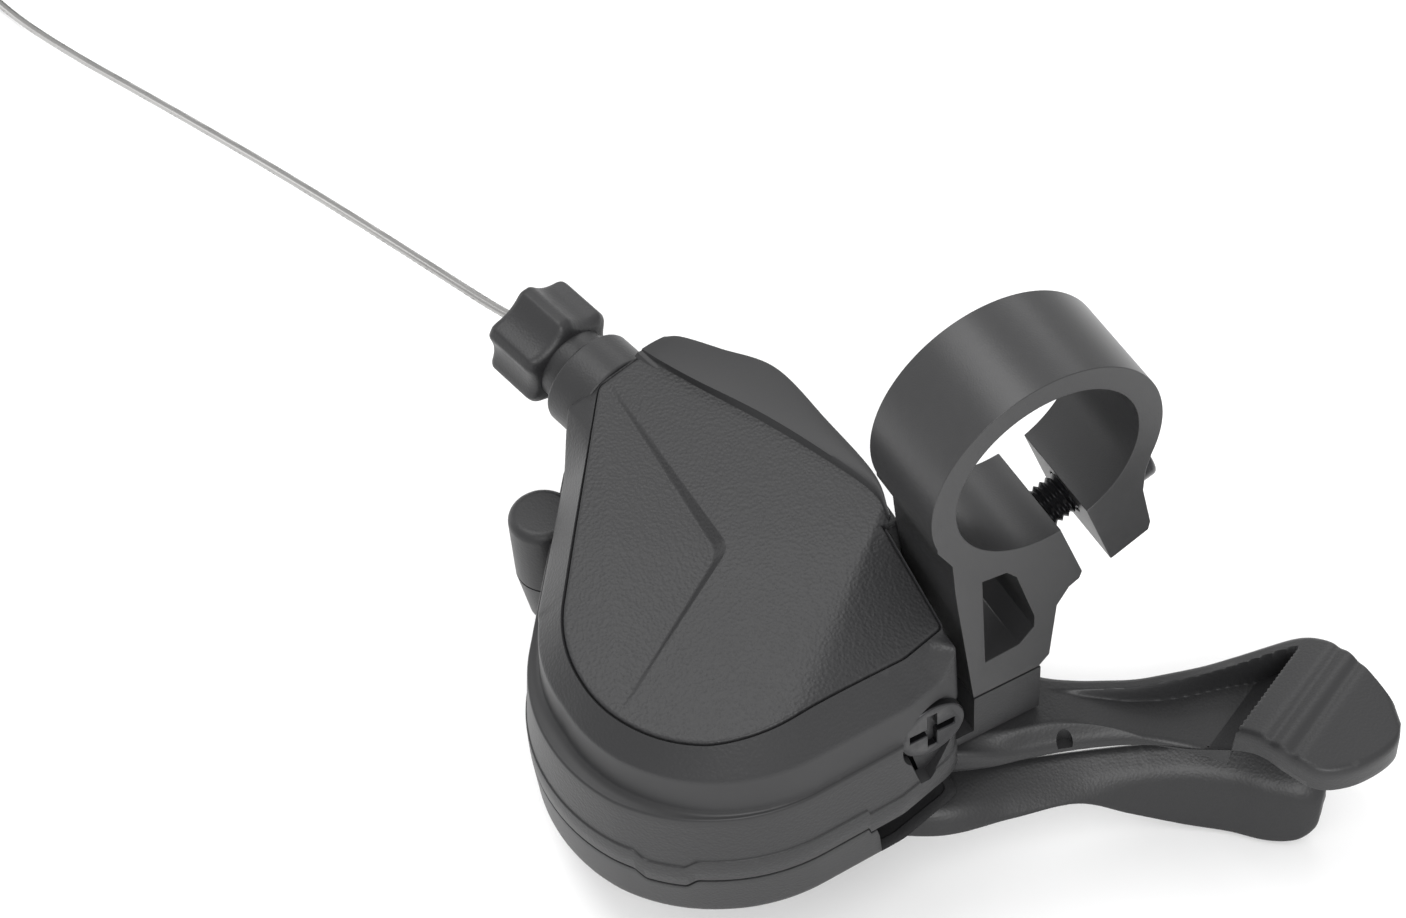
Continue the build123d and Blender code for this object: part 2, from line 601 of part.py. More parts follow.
def coil_centre():
    """The middle of the coil, which the cable's last run meets at a tangent."""
    end, before = Vector(*cable_route[-1]), Vector(*cable_route[-2])
    heading = Vector(end.X - before.X, end.Y - before.Y, 0).normalized()
    return Vector(end.X + heading.Y * coil_r, end.Y - heading.X * coil_r, 0)


def cable_coil():
    middle = coil_centre()
    low = cable_route[-1][2] - cable_d / 2
    return Pos(middle.X, middle.Y, low + coil_bundle_r) * Torus(coil_r, coil_bundle_r)


def cable_end_cap():
    """The crimped cap on the cable's end, lying on the coil."""
    middle = coil_centre()
    top = cable_route[-1][2] - cable_d / 2 + 2 * coil_bundle_r
    return Pos(middle.X - coil_r, middle.Y, top + cap_r) * Rot(90, 0, 0) * Cylinder(cap_r, cap_length)


os.makedirs("parts", exist_ok=True)
nodes = {
    "clamp_band": clamp_band(),
    "clamp_bolt": clamp_bolt(),
    "bracket_screw": bracket_screw(),
    "frame_body": frame_body(),
    "top_cover": top_cover(),
    "lower_cover": lower_cover(),
    "lower_cover_screws": lower_cover_screws(),
    "side_boss_cap": side_boss_cap(),
    "cover_screw": cover_screw(),
    "base_plate": base_plate(),
    "axle_bridge": axle_bridge(),
    "main_axle": main_axle(),
    "axle_nut": axle_nut(),
    "lever_sleeve": lever_sleeve(),
    "drive_pawl": pawl(drive_pawl_at, -1, True),
    "drive_pawl_pin": pawl_pin(drive_pawl_at, driver_bottom),
    "holding_pawl": pawl(hold_pawl_at, 1, False),
    "holding_pawl_pin": pawl_pin(hold_pawl_at, web_top),
    "cable_spool": cable_spool(),
    "ratchet_wheel": ratchet_wheel(),
    "cable_head": cable_head(),
    "cable_wrap": cable_wrap(),
    "main_return_spring": return_spring(),
    "release_spring": release_spring(),
    "release_lever": release_lever(),
    "main_lever": main_lever(),
    "barrel_adjuster": barrel_adjuster(),
    "adjuster_stem": adjuster_stem(),
    "cable_outlet": cable_outlet(),
    "cable_inner_run": inner_run(),
    "shift_cable": shift_cable(),
    "shift_cable_coil": cable_coil(),
    "cable_end_cap": cable_end_cap(),
}
for node, solid in nodes.items():
    save(node, solid)
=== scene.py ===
import bpy, bmesh, json
import numpy as np
from math import cos, pi, radians, sin
from mathutils import Matrix, Vector

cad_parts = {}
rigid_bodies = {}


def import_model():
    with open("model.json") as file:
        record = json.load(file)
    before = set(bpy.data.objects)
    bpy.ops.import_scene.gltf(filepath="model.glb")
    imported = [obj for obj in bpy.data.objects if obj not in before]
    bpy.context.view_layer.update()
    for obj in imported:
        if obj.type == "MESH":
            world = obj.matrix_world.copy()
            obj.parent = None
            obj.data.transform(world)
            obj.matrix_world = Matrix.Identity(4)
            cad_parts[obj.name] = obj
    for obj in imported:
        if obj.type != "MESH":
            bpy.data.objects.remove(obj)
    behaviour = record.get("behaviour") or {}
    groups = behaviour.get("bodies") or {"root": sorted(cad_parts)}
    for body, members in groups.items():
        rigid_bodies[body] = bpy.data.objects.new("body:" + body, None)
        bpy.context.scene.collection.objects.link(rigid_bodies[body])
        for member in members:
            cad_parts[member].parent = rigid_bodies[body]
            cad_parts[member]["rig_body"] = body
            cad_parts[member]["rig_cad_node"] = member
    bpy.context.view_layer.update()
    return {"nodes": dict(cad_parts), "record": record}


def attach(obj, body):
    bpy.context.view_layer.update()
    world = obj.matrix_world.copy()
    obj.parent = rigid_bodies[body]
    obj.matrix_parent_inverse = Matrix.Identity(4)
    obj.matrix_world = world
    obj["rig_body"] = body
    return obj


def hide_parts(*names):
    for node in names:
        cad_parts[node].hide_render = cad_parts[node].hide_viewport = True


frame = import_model()
print("frame loaded with", len(frame["nodes"]), "nodes")

mm = 0.001
axle = np.array([-10.3, -32.0])  # where the levers turn, seen from above, in mm


# Numbers to meshes.

def newPiece(name, verts, faces, sharp=35.0, merge=0.004):
    # Makes a closed piece from places in mm: doubles merged, faces outwards, smooth but for real corners.
    mesh = bpy.data.meshes.new(name)
    mesh.from_pydata(np.asarray(verts) * mm, [], faces if isinstance(faces, list) else faces.tolist())
    weld(mesh, merge * mm)
    mesh.shade_smooth()
    mesh.set_sharp_from_angle(angle=radians(sharp))
    piece = bpy.data.objects.new(name, mesh)
    bpy.context.scene.collection.objects.link(piece)
    return piece


def weld(mesh, distance, flatten=False):
    work = bmesh.new()
    work.from_mesh(mesh)
    bmesh.ops.remove_doubles(work, verts=work.verts, dist=distance)
    if flatten:
        bmesh.ops.dissolve_limit(work, angle_limit=radians(0.6), verts=work.verts, edges=work.edges)
    else:
        bmesh.ops.dissolve_degenerate(work, edges=work.edges, dist=distance)
        bmesh.ops.recalc_face_normals(work, faces=work.faces)
    work.to_mesh(mesh)
    work.free()
    mesh.update()


def gridFaces(rows, cols, closeRows=True, closeCols=False):
    # cell (i, j) joins place i, j to the next place round and the next place along
    i = np.arange(rows if closeRows else rows - 1)
    j = np.arange(cols if closeCols else cols - 1)
    a, b = np.meshgrid(i, j, indexing="ij")
    a2, b2 = (a + 1) % rows, (b + 1) % cols
    return np.stack([a * cols + b, a2 * cols + b, a2 * cols + b2, a * cols + b2], axis=-1).reshape(-1, 4)


def fanFaces(rim, centre):
    # a triangle from each two neighbours on a closed rim to the centre
    return np.column_stack([rim, np.roll(rim, -1), np.full(len(rim), centre)]).tolist()


def capped(name, rings, sharp=40.0, merge=0.004, split=False):
    # A piece from closed rings of places, one ring to a station, with a fan over each end. A cutter's
    # cells are split from its near ring's place to its far ring's next one, so that its cut is exact.
    rows, cols = rings.shape[:2]
    count, rim = rows * cols, np.arange(cols)
    cells = gridFaces(rows, cols, False, True)
    faces = (np.vstack([cells[:, :3], cells[:, [0, 2, 3]]]) if split else cells).tolist()
    faces += fanFaces(rim, count) + fanFaces(count - cols + rim, count + 1)
    middles = [rings[0].mean(axis=0), rings[-1].mean(axis=0)]
    return newPiece(name, np.vstack([rings.reshape(-1, 3), middles]), faces, sharp, merge)


def circleRing(x, y, radius, count):
    # places on a circle, two numbers to a place
    a = np.linspace(0, 2 * pi, count, endpoint=False)
    return np.column_stack([x + radius * np.cos(a), y + radius * np.sin(a)])


def alongPoints(points, t):
    # A smooth line through a few places, by cubic pieces whose slopes come from their neighbours.
    p = np.array(points)
    slope = np.gradient(p, axis=0)
    at = t * (len(p) - 1)
    i = np.clip(at.astype(int), 0, len(p) - 2)
    f = (at - i)[:, None]
    return ((2 * f ** 3 - 3 * f ** 2 + 1) * p[i] + (f ** 3 - 2 * f ** 2 + f) * slope[i]
            + (3 * f ** 2 - 2 * f ** 3) * p[i + 1] + (f ** 3 - f ** 2) * slope[i + 1])


def smoothStep(x):
    t = np.clip(x, 0.0, 1.0)
    return t * t * (3 - 2 * t)


def softMin(a, b, k):
    # the smaller of two heights, rounded over k mm where they cross
    h = np.clip(0.5 + 0.5 * (b - a) / k, 0.0, 1.0)
    return b + (a - b) * h - k * h * (1 - h)


def softened(node, width, segments=2, corner=28.0):
    # A copy of a CAD node with its doubles merged and its corners rounded over the given width in mm.
    piece = frame["nodes"][node].copy()
    piece.data = frame["nodes"][node].data.copy()
    piece.name = piece.data.name = node + "_finished"
    bpy.context.scene.collection.objects.link(piece)
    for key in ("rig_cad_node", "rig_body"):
        if key in piece:
            del piece[key]
    piece.parent = None
    weld(piece.data, 0.002 * mm, flatten=True)
    piece.data.shade_smooth()
    piece.data.set_sharp_from_angle(angle=radians(corner))
    edge = piece.modifiers.new("roundedCorners", "BEVEL")
    edge.width = width * mm
    edge.segments = segments
    edge.limit_method = "ANGLE"
    edge.angle_limit = radians(corner)
    edge.harden_normals = True
    edge.use_clamp_overlap = True
    return piece


# Finishes.

def groupSockets(name, inputs, outputs):
    group = bpy.data.node_groups.new(name, "ShaderNodeTree")
    for label, kind, default in inputs:
        socket = group.interface.new_socket(label, in_out="INPUT", socket_type=kind)
        socket.default_value = default
    for label, kind in outputs:
        group.interface.new_socket(label, in_out="OUTPUT", socket_type=kind)
    entry, leave = group.nodes.new("NodeGroupInput"), group.nodes.new("NodeGroupOutput")
    return group, entry, leave


def mouldedGrainGroup():
    # Fine moulded grain: rounded cells and a little noise added up, as a height, and a slow patchiness.
    group, entry, leave = groupSockets(
        "mouldedGrain",
        [("Cell Size", "NodeSocketFloat", 3000.0), ("Noise Share", "NodeSocketFloat", 0.4)],
        [("Height", "NodeSocketFloat"), ("Patches", "NodeSocketFloat")])
    nodes, link = group.nodes, group.links.new
    place = nodes.new("ShaderNodeTexCoord")
    cells = nodes.new("ShaderNodeTexVoronoi")
    cells.feature = "SMOOTH_F1"
    cells.inputs["Smoothness"].default_value = 0.6
    noise = nodes.new("ShaderNodeTexNoise")
    noise.inputs["Detail"].default_value = 3.0
    twice = nodes.new("ShaderNodeMath")
    twice.operation = "MULTIPLY"
    twice.inputs[1].default_value = 1.7
    scaled = nodes.new("ShaderNodeMath")
    scaled.operation = "MULTIPLY"
    total = nodes.new("ShaderNodeMath")
    total.operation = "ADD"
    slow = nodes.new("ShaderNodeTexNoise")
    slow.inputs["Scale"].default_value = 90.0
    slow.inputs["Detail"].default_value = 4.0
    link(place.outputs["Object"], cells.inputs["Vector"])
    link(place.outputs["Object"], noise.inputs["Vector"])
    link(place.outputs["Object"], slow.inputs["Vector"])
    link(entry.outputs["Cell Size"], cells.inputs["Scale"])
    link(entry.outputs["Cell Size"], twice.inputs[0])
    link(twice.outputs[0], noise.inputs["Scale"])
    link(noise.outputs["Fac"], scaled.inputs[0])
    link(entry.outputs["Noise Share"], scaled.inputs[1])
    link(cells.outputs["Distance"], total.inputs[0])
    link(scaled.outputs[0], total.inputs[1])
    link(total.outputs[0], leave.inputs["Height"])
    link(slow.outputs["Fac"], leave.inputs["Patches"])
    return group


def edgeWearGroup():
    # Rubbed corners: the mesh's own pointiness, broken up by noise, as a mask from 0 to 1.
    group, entry, leave = groupSockets(
        "edgeWear",
        [("Threshold", "NodeSocketFloat", 0.53), ("Breakup", "NodeSocketFloat", 0.5)],
        [("Mask", "NodeSocketFloat")])
    nodes, link = group.nodes, group.links.new
    shape = nodes.new("ShaderNodeNewGeometry")
    place = nodes.new("ShaderNodeTexCoord")
    noise = nodes.new("ShaderNodeTexNoise")
    noise.inputs["Scale"].default_value = 900.0
    noise.inputs["Detail"].default_value = 5.0
    over = nodes.new("ShaderNodeMath")
    over.operation = "SUBTRACT"
    sharpen = nodes.new("ShaderNodeMath")
    sharpen.operation = "MULTIPLY"
    sharpen.inputs[1].default_value = 14.0
    sharpen.use_clamp = True
    broken = nodes.new("ShaderNodeMath")
    broken.operation = "MULTIPLY"
    some = nodes.new("ShaderNodeMath")
    some.operation = "MULTIPLY"
    some.use_clamp = True
    link(place.outputs["Object"], noise.inputs["Vector"])
    link(shape.outputs["Pointiness"], over.inputs[0])
    link(entry.outputs["Threshold"], over.inputs[1])
    link(over.outputs[0], sharpen.inputs[0])
    link(noise.outputs["Fac"], some.inputs[0])
    link(entry.outputs["Breakup"], some.inputs[1])
    link(sharpen.outputs[0], broken.inputs[0])
    link(some.outputs[0], broken.inputs[1])
    link(broken.outputs[0], leave.inputs["Mask"])
    return group


mouldedGrain = mouldedGrainGroup()
edgeWear = edgeWearGroup()


def finish(name, base, rubbed, roughness, spread, cellSize, depth, metallic=0.0, grainPart=None, wear=0.5,
           specular=0.5):
    # A moulded or coated surface: base colour varied by slow patches, lighter where corners are rubbed,
    # roughness spread about its middle, and grain as bump; grainPart names an attribute that scales it.
    material = bpy.data.materials.new(name)
    material.use_nodes = True
    nodes, link = material.node_tree.nodes, material.node_tree.links.new
    shader = nodes["Principled BSDF"]
    shader.inputs["Metallic"].default_value = metallic
    shader.inputs["Specular IOR Level"].default_value = specular
    grain = nodes.new("ShaderNodeGroup")
    grain.node_tree = mouldedGrain
    grain.inputs["Cell Size"].default_value = cellSize
    worn = nodes.new("ShaderNodeGroup")
    worn.node_tree = edgeWear
    worn.inputs["Breakup"].default_value = wear
    tone = nodes.new("ShaderNodeMix")
    tone.data_type = "RGBA"
    tone.inputs["A"].default_value = (*[c * 0.9 for c in base], 1)
    tone.inputs["B"].default_value = (*[c * 1.12 for c in base], 1)
    rub = nodes.new("ShaderNodeMix")
    rub.data_type = "RGBA"
    rub.inputs["B"].default_value = (*rubbed, 1)
    shine = nodes.new("ShaderNodeMapRange")
    shine.inputs["To Min"].default_value = roughness - spread
    shine.inputs["To Max"].default_value = roughness + spread
    bump = nodes.new("ShaderNodeBump")
    bump.inputs["Strength"].default_value = 1.0
    bump.inputs["Distance"].default_value = depth * mm
    link(grain.outputs["Patches"], tone.inputs["Factor"])
    link(tone.outputs["Result"], rub.inputs["A"])
    link(worn.outputs["Mask"], rub.inputs["Factor"])
    link(rub.outputs["Result"], shader.inputs["Base Color"])
    link(grain.outputs["Patches"], shine.inputs["Value"])
    link(shine.outputs["Result"], shader.inputs["Roughness"])
    height = grain.outputs["Height"]
    if grainPart:
        part = nodes.new("ShaderNodeAttribute")
        part.attribute_name = grainPart
        scaled = nodes.new("ShaderNodeMath")
        scaled.operation = "MULTIPLY"
        link(height, scaled.inputs[0])
        link(part.outputs["Fac"], scaled.inputs[1])
        height = scaled.outputs[0]
    link(height, bump.inputs["Height"])
    link(bump.outputs["Normal"], shader.inputs["Normal"])
    return material


finishes = {
    "cover": finish("grained cover plastic", (0.018, 0.018, 0.019), (0.05, 0.05, 0.052), 0.46, 0.03, 2600,
                    0.05, grainPart="grain", wear=0.35, specular=0.4),
    "moulded": finish("moulded body plastic", (0.020, 0.020, 0.021), (0.055, 0.055, 0.056), 0.44, 0.04, 3400,
                      0.02, wear=0.4, specular=0.38),
    "lever": finish("glass filled lever plastic", (0.022, 0.022, 0.023), (0.06, 0.06, 0.06), 0.42, 0.05, 3000,
                    0.018, specular=0.38),
    "anodised": finish("satin anodised alloy", (0.026, 0.026, 0.027), (0.08, 0.08, 0.08), 0.34, 0.04, 5200,
                       0.006, wear=0.6, specular=0.4),
    "blackSteel": finish("black zinc steel", (0.022, 0.022, 0.024), (0.12, 0.12, 0.12), 0.32, 0.06, 4200,
                         0.006, metallic=0.8, wear=0.8),
    "plated": finish("zinc plated steel", (0.52, 0.52, 0.54), (0.7, 0.7, 0.7), 0.3, 0.08, 3600, 0.006,
                     metallic=1.0, wear=0.4),
    "nylon": finish("spool nylon", (0.06, 0.06, 0.06), (0.1, 0.1, 0.1), 0.45, 0.05, 2500, 0.01),
    "wire": finish("bright spring wire", (0.5, 0.5, 0.52), (0.7, 0.7, 0.7), 0.25, 0.06, 5000, 0.003,
                   metallic=1.0),
    "strand": finish("stainless strand", (0.36, 0.356, 0.35), (0.7, 0.7, 0.7), 0.27, 0.07, 5000, 0.003,
                     metallic=1.0),
    "bright": finish("bright aluminium", (0.6, 0.6, 0.61), (0.8, 0.8, 0.8), 0.3, 0.07, 4000, 0.006,
                     metallic=1.0),
}
slotFinish = {
    "anodised_alloy": "anodised", "cover_shell": "cover", "moulded_body": "moulded", "lever_nylon": "lever",
    "spool_nylon": "nylon", "black_steel": "blackSteel", "pressed_steel": "plated", "spring_wire": "wire",
    "cable_steel": "strand", "cable_alloy": "bright",
}
slotOf = {part["node"]: part["material_slot"] for part in frame["record"]["subparts"]}
for node, thing in frame["nodes"].items():
    thing.data.materials.clear()
    thing.data.materials.append(finishes[slotFinish[slotOf[node]]])
print("finishes made:", len(finishes))


def fit(piece, body, *nodes, slot=None):
    # Gives a new piece its finish, puts it on its body and lets it stand for its CAD nodes.
    slot = slot or slotOf[nodes[0]]
    piece.data.materials.clear()
    piece.data.materials.append(finishes[slotFinish[slot]])
    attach(piece, body)
    if nodes:
        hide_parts(*nodes)
    return piece


# Parts whose CAD shape only needs its corners broken.

cornerWidths = {
    "clamp_band": ("unit", 0.5), "frame_body": ("unit", 0.2),
    "side_boss_cap": ("unit", 0.3), "cable_outlet": ("unit", 0.4),
    "cover_screw": ("unit", 0.2),
}
for node, (body, width) in cornerWidths.items():
    fit(softened(node, width), body, node)
print("corners broken on", len(cornerWidths), "parts")


# The top cover: shell, top panel and fin.

pod = {
    "samples": 640, "creaseZ": -24.0, "shelfZ": -29.4, "seamZ": -40.6, "lipZ": -37.0, "wall": 1.5,
    "panelAt": (-28.0, -17.2), "panelSlope": 0.15, "frontTilt": 0.05, "sideTilt": 0.4,
    "tabAt": -45.0, "tabHalfWidth": 3.1, "tabDrop": 1.3, "stepAt": 17.0, "stepDrop": 1.0,
    "middle": (-15.0, -27.0), "panelRings": 118,
}
# Each straight side: its normal's angle, then its distance from the axle at the panel's edge, at the crease,
# at the shelf and at the seam.
podSides = [
    (-125.6, 16.2, 19.6, 20.9, 22.0), (2.5, 17.6, 20.6, 21.3, 22.0), (14.0, 19.9, 22.6, 23.0, 23.6),
    (33.0, 24.2, 26.2, 26.4, 26.8), (90.0, 19.6, 19.9, 19.9, 19.9), (94.6, 21.3, 22.1, 22.2, 22.4),
    (121.5, 27.4, 28.4, 28.7, 29.0), (187.5, 31.7, 32.5, 32.9, 33.6),
]
# The round front: angle, then the radius at the same four levels.
podFront = np.array([
    (-125.6, 16.2, 19.4, 20.9, 22.0), (-88, 16.4, 19.0, 21.2, 22.1), (-60, 16.9, 19.8, 21.6, 22.3),
    (-30, 17.7, 20.3, 21.3, 22.0), (2.5, 17.6, 20.6, 21.3, 22.0),
])


def turned(angle, axisAngle):
    return (angle - axisAngle + 180) % 360 - 180


def podRadius(angle, level):
    # The least distance to the straight sides, and the round front between the two sides it touches.
    sides = np.array([side[1 + level] / np.clip(np.cos(np.radians(turned(angle, side[0]))), 0.02, 1)
                      for side in podSides])
    neckSide = 4
    sides[neckSide] = np.where((angle % 360) < 80.6, sides[neckSide], 99.0)
    radius = sides.min(axis=0)
    front = (turned(angle, 0) > podFront[0, 0]) & (turned(angle, 0) < podFront[-1, 0])
    return np.where(front, np.interp(turned(angle, 0), podFront[:, 0], podFront[:, 1 + level]), radius)


def rounded(values, width):
    # A closed row of values, averaged over a bell-shaped window that many samples wide.
    window = np.hanning(width + 2)[1:-1]
    window /= window.sum()
    padded = np.concatenate([values[-width:], values, values[:width]])
    return np.convolve(padded, window, "same")[width:-width]


def podAngles():
    # Angles round the axle that are evenly spaced along the crease.
    fine = np.linspace(-180, 180, 7200, endpoint=False)
    radius = rounded(podRadius(fine, 1), 41)
    x, y = radius * np.cos(np.radians(fine)), radius * np.sin(np.radians(fine))
    step = np.hypot(np.diff(x, append=x[0]), np.diff(y, append=y[0]))
    along = np.concatenate([[0], np.cumsum(step)])
    even = np.linspace(0, along[-1], pod["samples"], endpoint=False)
    return np.interp(even, along, np.append(fine, 180.0))


podAngle = podAngles()
podRadii = [rounded(podRadius(podAngle, level), width) for level, width in enumerate((7, 5, 7, 9))]


def panelHeight(x, y):
    # The top panel: a plane that falls to the front, a second plane from the V's point to the front, a third
    # that falls to the clamp's side, and the sunk facet inside the V, which is deepest at the V's point.
    base = pod["panelAt"][1] + pod["panelSlope"] * (y - pod["panelAt"][0])
    frontPart = 0.80 * (x + 15.2) - 0.60 * (y + 26.8)
    sidePart = 0.776 * (x + 6.6) + 0.630 * (y + 13.9)
    height = base - pod["frontTilt"] * 0.5 * (frontPart + np.sqrt(frontPart ** 2 + 4.0))
    soften = 0.25 + 0.12 * np.clip(-y - 14, 0, 20)
    height = height - pod["sideTilt"] * 0.5 * (sidePart + np.sqrt(sidePart ** 2 + soften ** 2))
    fromEnds = 0.4257 * (x + 44.2) + 0.905 * (y + 27.9)
    sunk = height - 0.092 * np.clip(fromEnds, 0, None)
    upper = -(y + 27.6) + 0.01 * (x + 44)
    lower = -0.877 * (x + 14.4) - 0.484 * (y + 27.4)
    inside = softMin(upper, lower, 1.6)
    bevel = height - 0.95 * np.clip(inside, 0, None)
    return np.where(inside > 0, -softMin(-sunk, -bevel, 0.16), height)


def podPlace(radius, z):
    a = np.radians(podAngle)
    return np.column_stack([axle[0] + radius * np.cos(a), axle[1] + radius * np.sin(a), z + 0 * a])


def roundThePod(name, rows):
    # a closed profile of (radius, height) rows, each with its own values round the pod
    points = np.stack([podPlace(radius, z) for radius, z in rows], axis=1)
    return newPiece(name, points.reshape(-1, 3), gridFaces(len(podAngle), len(rows), True, True), 40)


def podZones():
    # How far each place round the pod is at the rider's side, at the tail end or beside the clamp, 0 to 1.
    a = turned(podAngle, 100.0)
    back = smoothStep((a + 21) / 3) * smoothStep((59 - a) / 3)
    tail = smoothStep((a - 53) / 4) * smoothStep((90 - a) / 9)
    neck = smoothStep((a + 58) / 6) * smoothStep((-17 - a) / 4)
    return back, tail, neck


def seamDrop():
    # the seam dips at the tab and steps down near the clamp's end
    fromTab = np.abs(turned(podAngle, pod["tabAt"])) * pi / 180 * podRadii[3] / pod["tabHalfWidth"]
    pastStep = turned(podAngle, 0) - pod["stepAt"]
    step = smoothStep(pastStep / 0.7) * smoothStep((30 - pastStep) / 6)
    return pod["tabDrop"] * smoothStep((1.25 - fromTab) / 0.6) + pod["stepDrop"] * step


def makeShell():
    # The profile below is carried round the pod: shoulder, crease, wall, shelf, skirt, lip and back inside.
    panel, crease, shelf, seam = podRadii
    back, tail, neck = podZones()
    edge = panelHeight(*podPlace(panel - 0.2, 0)[:, :2].T)
    edge = edge * (1 - back) + (-16.6) * back
    creaseZ = pod["creaseZ"] * (1 - tail - neck) + (edge - 1.1) * tail + (edge - 1.0) * neck
    creaseZ = creaseZ * (1 - back) - 17.2 * back
    shelfZ = np.full_like(creaseZ, pod["shelfZ"])
    drop = seamDrop()
    seamZ, lipZ = pod["seamZ"] - drop, pod["lipZ"] - drop
    inner = pod["wall"]
    rows = [(panel - 0.30, edge - 1.3), (panel - 0.05, edge - 0.75), (panel + 0.10, edge - 0.30),
            (panel + 0.28, edge - 0.16)]
    for share in np.linspace(0.03, 0.965, 12):
        rows.append((panel + 0.3 + (crease - panel - 0.3) * share,
                     edge - 0.18 + (creaseZ - edge + 0.18) * share))
    rows += [(crease - 0.02, creaseZ - 0.05), (crease + 0.03, creaseZ - 0.22), (crease + 0.05, creaseZ - 0.5)]
    for share in np.linspace(0.15, 1, 6):
        rows.append((crease + 0.05 + 0.25 * share, creaseZ - 0.5 + (shelfZ + 1.1 - creaseZ) * share))
    for turn in np.linspace(0.2, 1.0, 6) * pi / 2:
        rows.append((crease + 0.30 + (shelf - crease - 0.45) * (1 - cos(turn)),
                     shelfZ + 0.6 - 0.75 * sin(turn)))
    for turn in np.linspace(0.25, 1.0, 4) * pi / 2:
        rows.append((shelf - 0.15 + 0.28 * sin(turn), shelfZ - 0.15 - 0.38 * (1 - cos(turn))))
    low = lipZ + 0.3
    for share in np.linspace(0.12, 1, 8):
        rows.append((shelf + 0.13 + (seam - 0.36 - shelf) * share,
                     shelfZ - 0.53 + (low - shelfZ + 0.53) * share))
    rows += [(seam - 0.24, lipZ + 0.05), (seam - 0.22, lipZ - 0.04), (seam - 0.06, lipZ - 0.14),
             (seam - 0.02, lipZ - 0.3), (seam, (lipZ + seamZ) / 2), (seam, seamZ + 0.15), (seam - 0.1, seamZ),
             (seam - inner, seamZ), (shelf - inner, shelfZ - 0.5), (crease - inner, creaseZ - inner * 0.5),
             (panel - inner - 0.3, edge - 0.8 - inner)]
    shell = roundThePod("cover_shell", rows)
    grainAttribute(shell, lambda z: 0.75 * smoothStep((z + 24.3) / 0.5) + 0.6 * smoothStep((-29.8 - z) / 0.5))
    return shell


def grainAttribute(piece, share):
    # Writes how strong the moulded grain is at each height of a piece.
    mesh = piece.data
    co = np.zeros(len(mesh.vertices) * 3)
    mesh.vertices.foreach_get("co", co)
    values = np.clip(share(co.reshape(-1, 3)[:, 2] / mm), 0, 1).astype(np.float32)
    mesh.attributes.new("grain", "FLOAT", "POINT").data.foreach_set("value", values)


def makePanel():
    # Rings shrink from the panel's edge to its middle; each place takes its height from panelHeight, and the
    # outermost rings turn down into the groove round the panel.
    middle, rings = np.array(pod["middle"]), pod["panelRings"]
    away = podPlace(podRadii[0] - 0.02, 0)[:, :2] - middle
    reach = np.hypot(away[:, 0], away[:, 1])
    inset = np.array([0.0, 0.0, 0.05, 0.15, 0.32])
    drop = np.array([1.6, 0.35, 0.12, 0.03, 0.0])
    inward = (1 - inset[-1] / reach)[:, None] * np.linspace(0.992, 0.004, rings)[None, :]
    shares = np.concatenate([1 - inset[None, :] / reach[:, None], inward], axis=1)
    drops = np.concatenate([drop, np.zeros(rings)])
    xy = middle + away[:, None, :] * shares[:, :, None]
    z = panelHeight(xy[..., 0], xy[..., 1]) - drops
    top = np.concatenate([xy, z[..., None]], axis=2)
    under = top[:, :1].copy()
    under[..., :2] = middle + away[:, None, :] * 0.004
    under[..., 2] = top[:, :1, 2].min()
    points = np.concatenate([under, top], axis=1)
    rows, cols = points.shape[:2]
    count, rim = rows * cols, np.arange(rows) * cols
    beneath = np.array(fanFaces(rim, count))[:, [1, 0, 2]].tolist()  # wound to face down
    faces = gridFaces(rows, cols).tolist() + beneath + fanFaces(rim + cols - 1, count + 1)
    middles = [[*middle, under[0, 0, 2]], [*middle, panelHeight(*middle)]]
    panel = newPiece("cover_panel", np.vstack([points.reshape(-1, 3), middles]), faces, 50)
    grainAttribute(panel, lambda z: 1.0 + 0 * z)
    return panel


fin = {
    "stations": 160,
    "outer": [(-43.9, -19.4, -15.5), (-42.4, -17.9, -15.0), (-38.0, -15.2, -14.4), (-31.8, -11.5, -13.9),
              (-22.0, -10.5, -13.8), (-12.7, -9.9, -13.9), (-7.3, -11.2, -14.4)],
    "inner": [(-43.9, -22.4, -15.9), (-41.0, -21.6, -15.5), (-36.0, -19.7, -15.1), (-27.4, -15.9, -14.6),
              (-19.2, -13.0, -14.3), (-11.6, -10.9, -14.2), (-7.2, -11.4, -14.5)],
    "foot": [(-43.9, -22.5, -16.1), (-41.0, -21.8, -16.3), (-35.0, -19.6, -16.6), (-27.0, -16.9, -16.7),
             (-18.5, -14.2, -16.8), (-11.0, -12.4, -17.2), (-6.9, -11.9, -17.8)],
}


def makeFin():
    # A section carried along the rider's side: foot, steep inner wall, flat top with a slight crown, rounded
    # outer edge, and straight down behind.
    t = np.linspace(0, 1, fin["stations"])
    outer, inner, foot = (alongPoints(fin[k], t) for k in ("outer", "inner", "foot"))
    down = np.array([0, 0, -1.0])
    across = inner - outer
    across[:, 2] = 0
    across /= np.linalg.norm(across, axis=1)[:, None]
    rows = [foot + across * 0.9 + down * 0.45, foot + across * 0.5 + down * 0.02, foot + across * 0.12]
    rows += [foot * (1 - share) + inner * share for share in (0.15, 0.5, 0.88)] + [inner - down * 0.03]
    for share in np.linspace(0.06, 0.94, 7):
        rows.append(inner * (1 - share) + outer * share - down * (0.05 + 0.5 * share * (1 - share)))
    rows += [outer - down * 0.02, outer - across * 0.07 + down * 0.1, outer - across * 0.1 + down * 0.35,
             outer - across * 0.1 + down * 3.2, foot + down * 2.0]
    piece = capped("cover_fin", np.stack(rows, axis=1), 38)
    grainAttribute(piece, lambda z: 0.12 + 0 * z)
    return piece


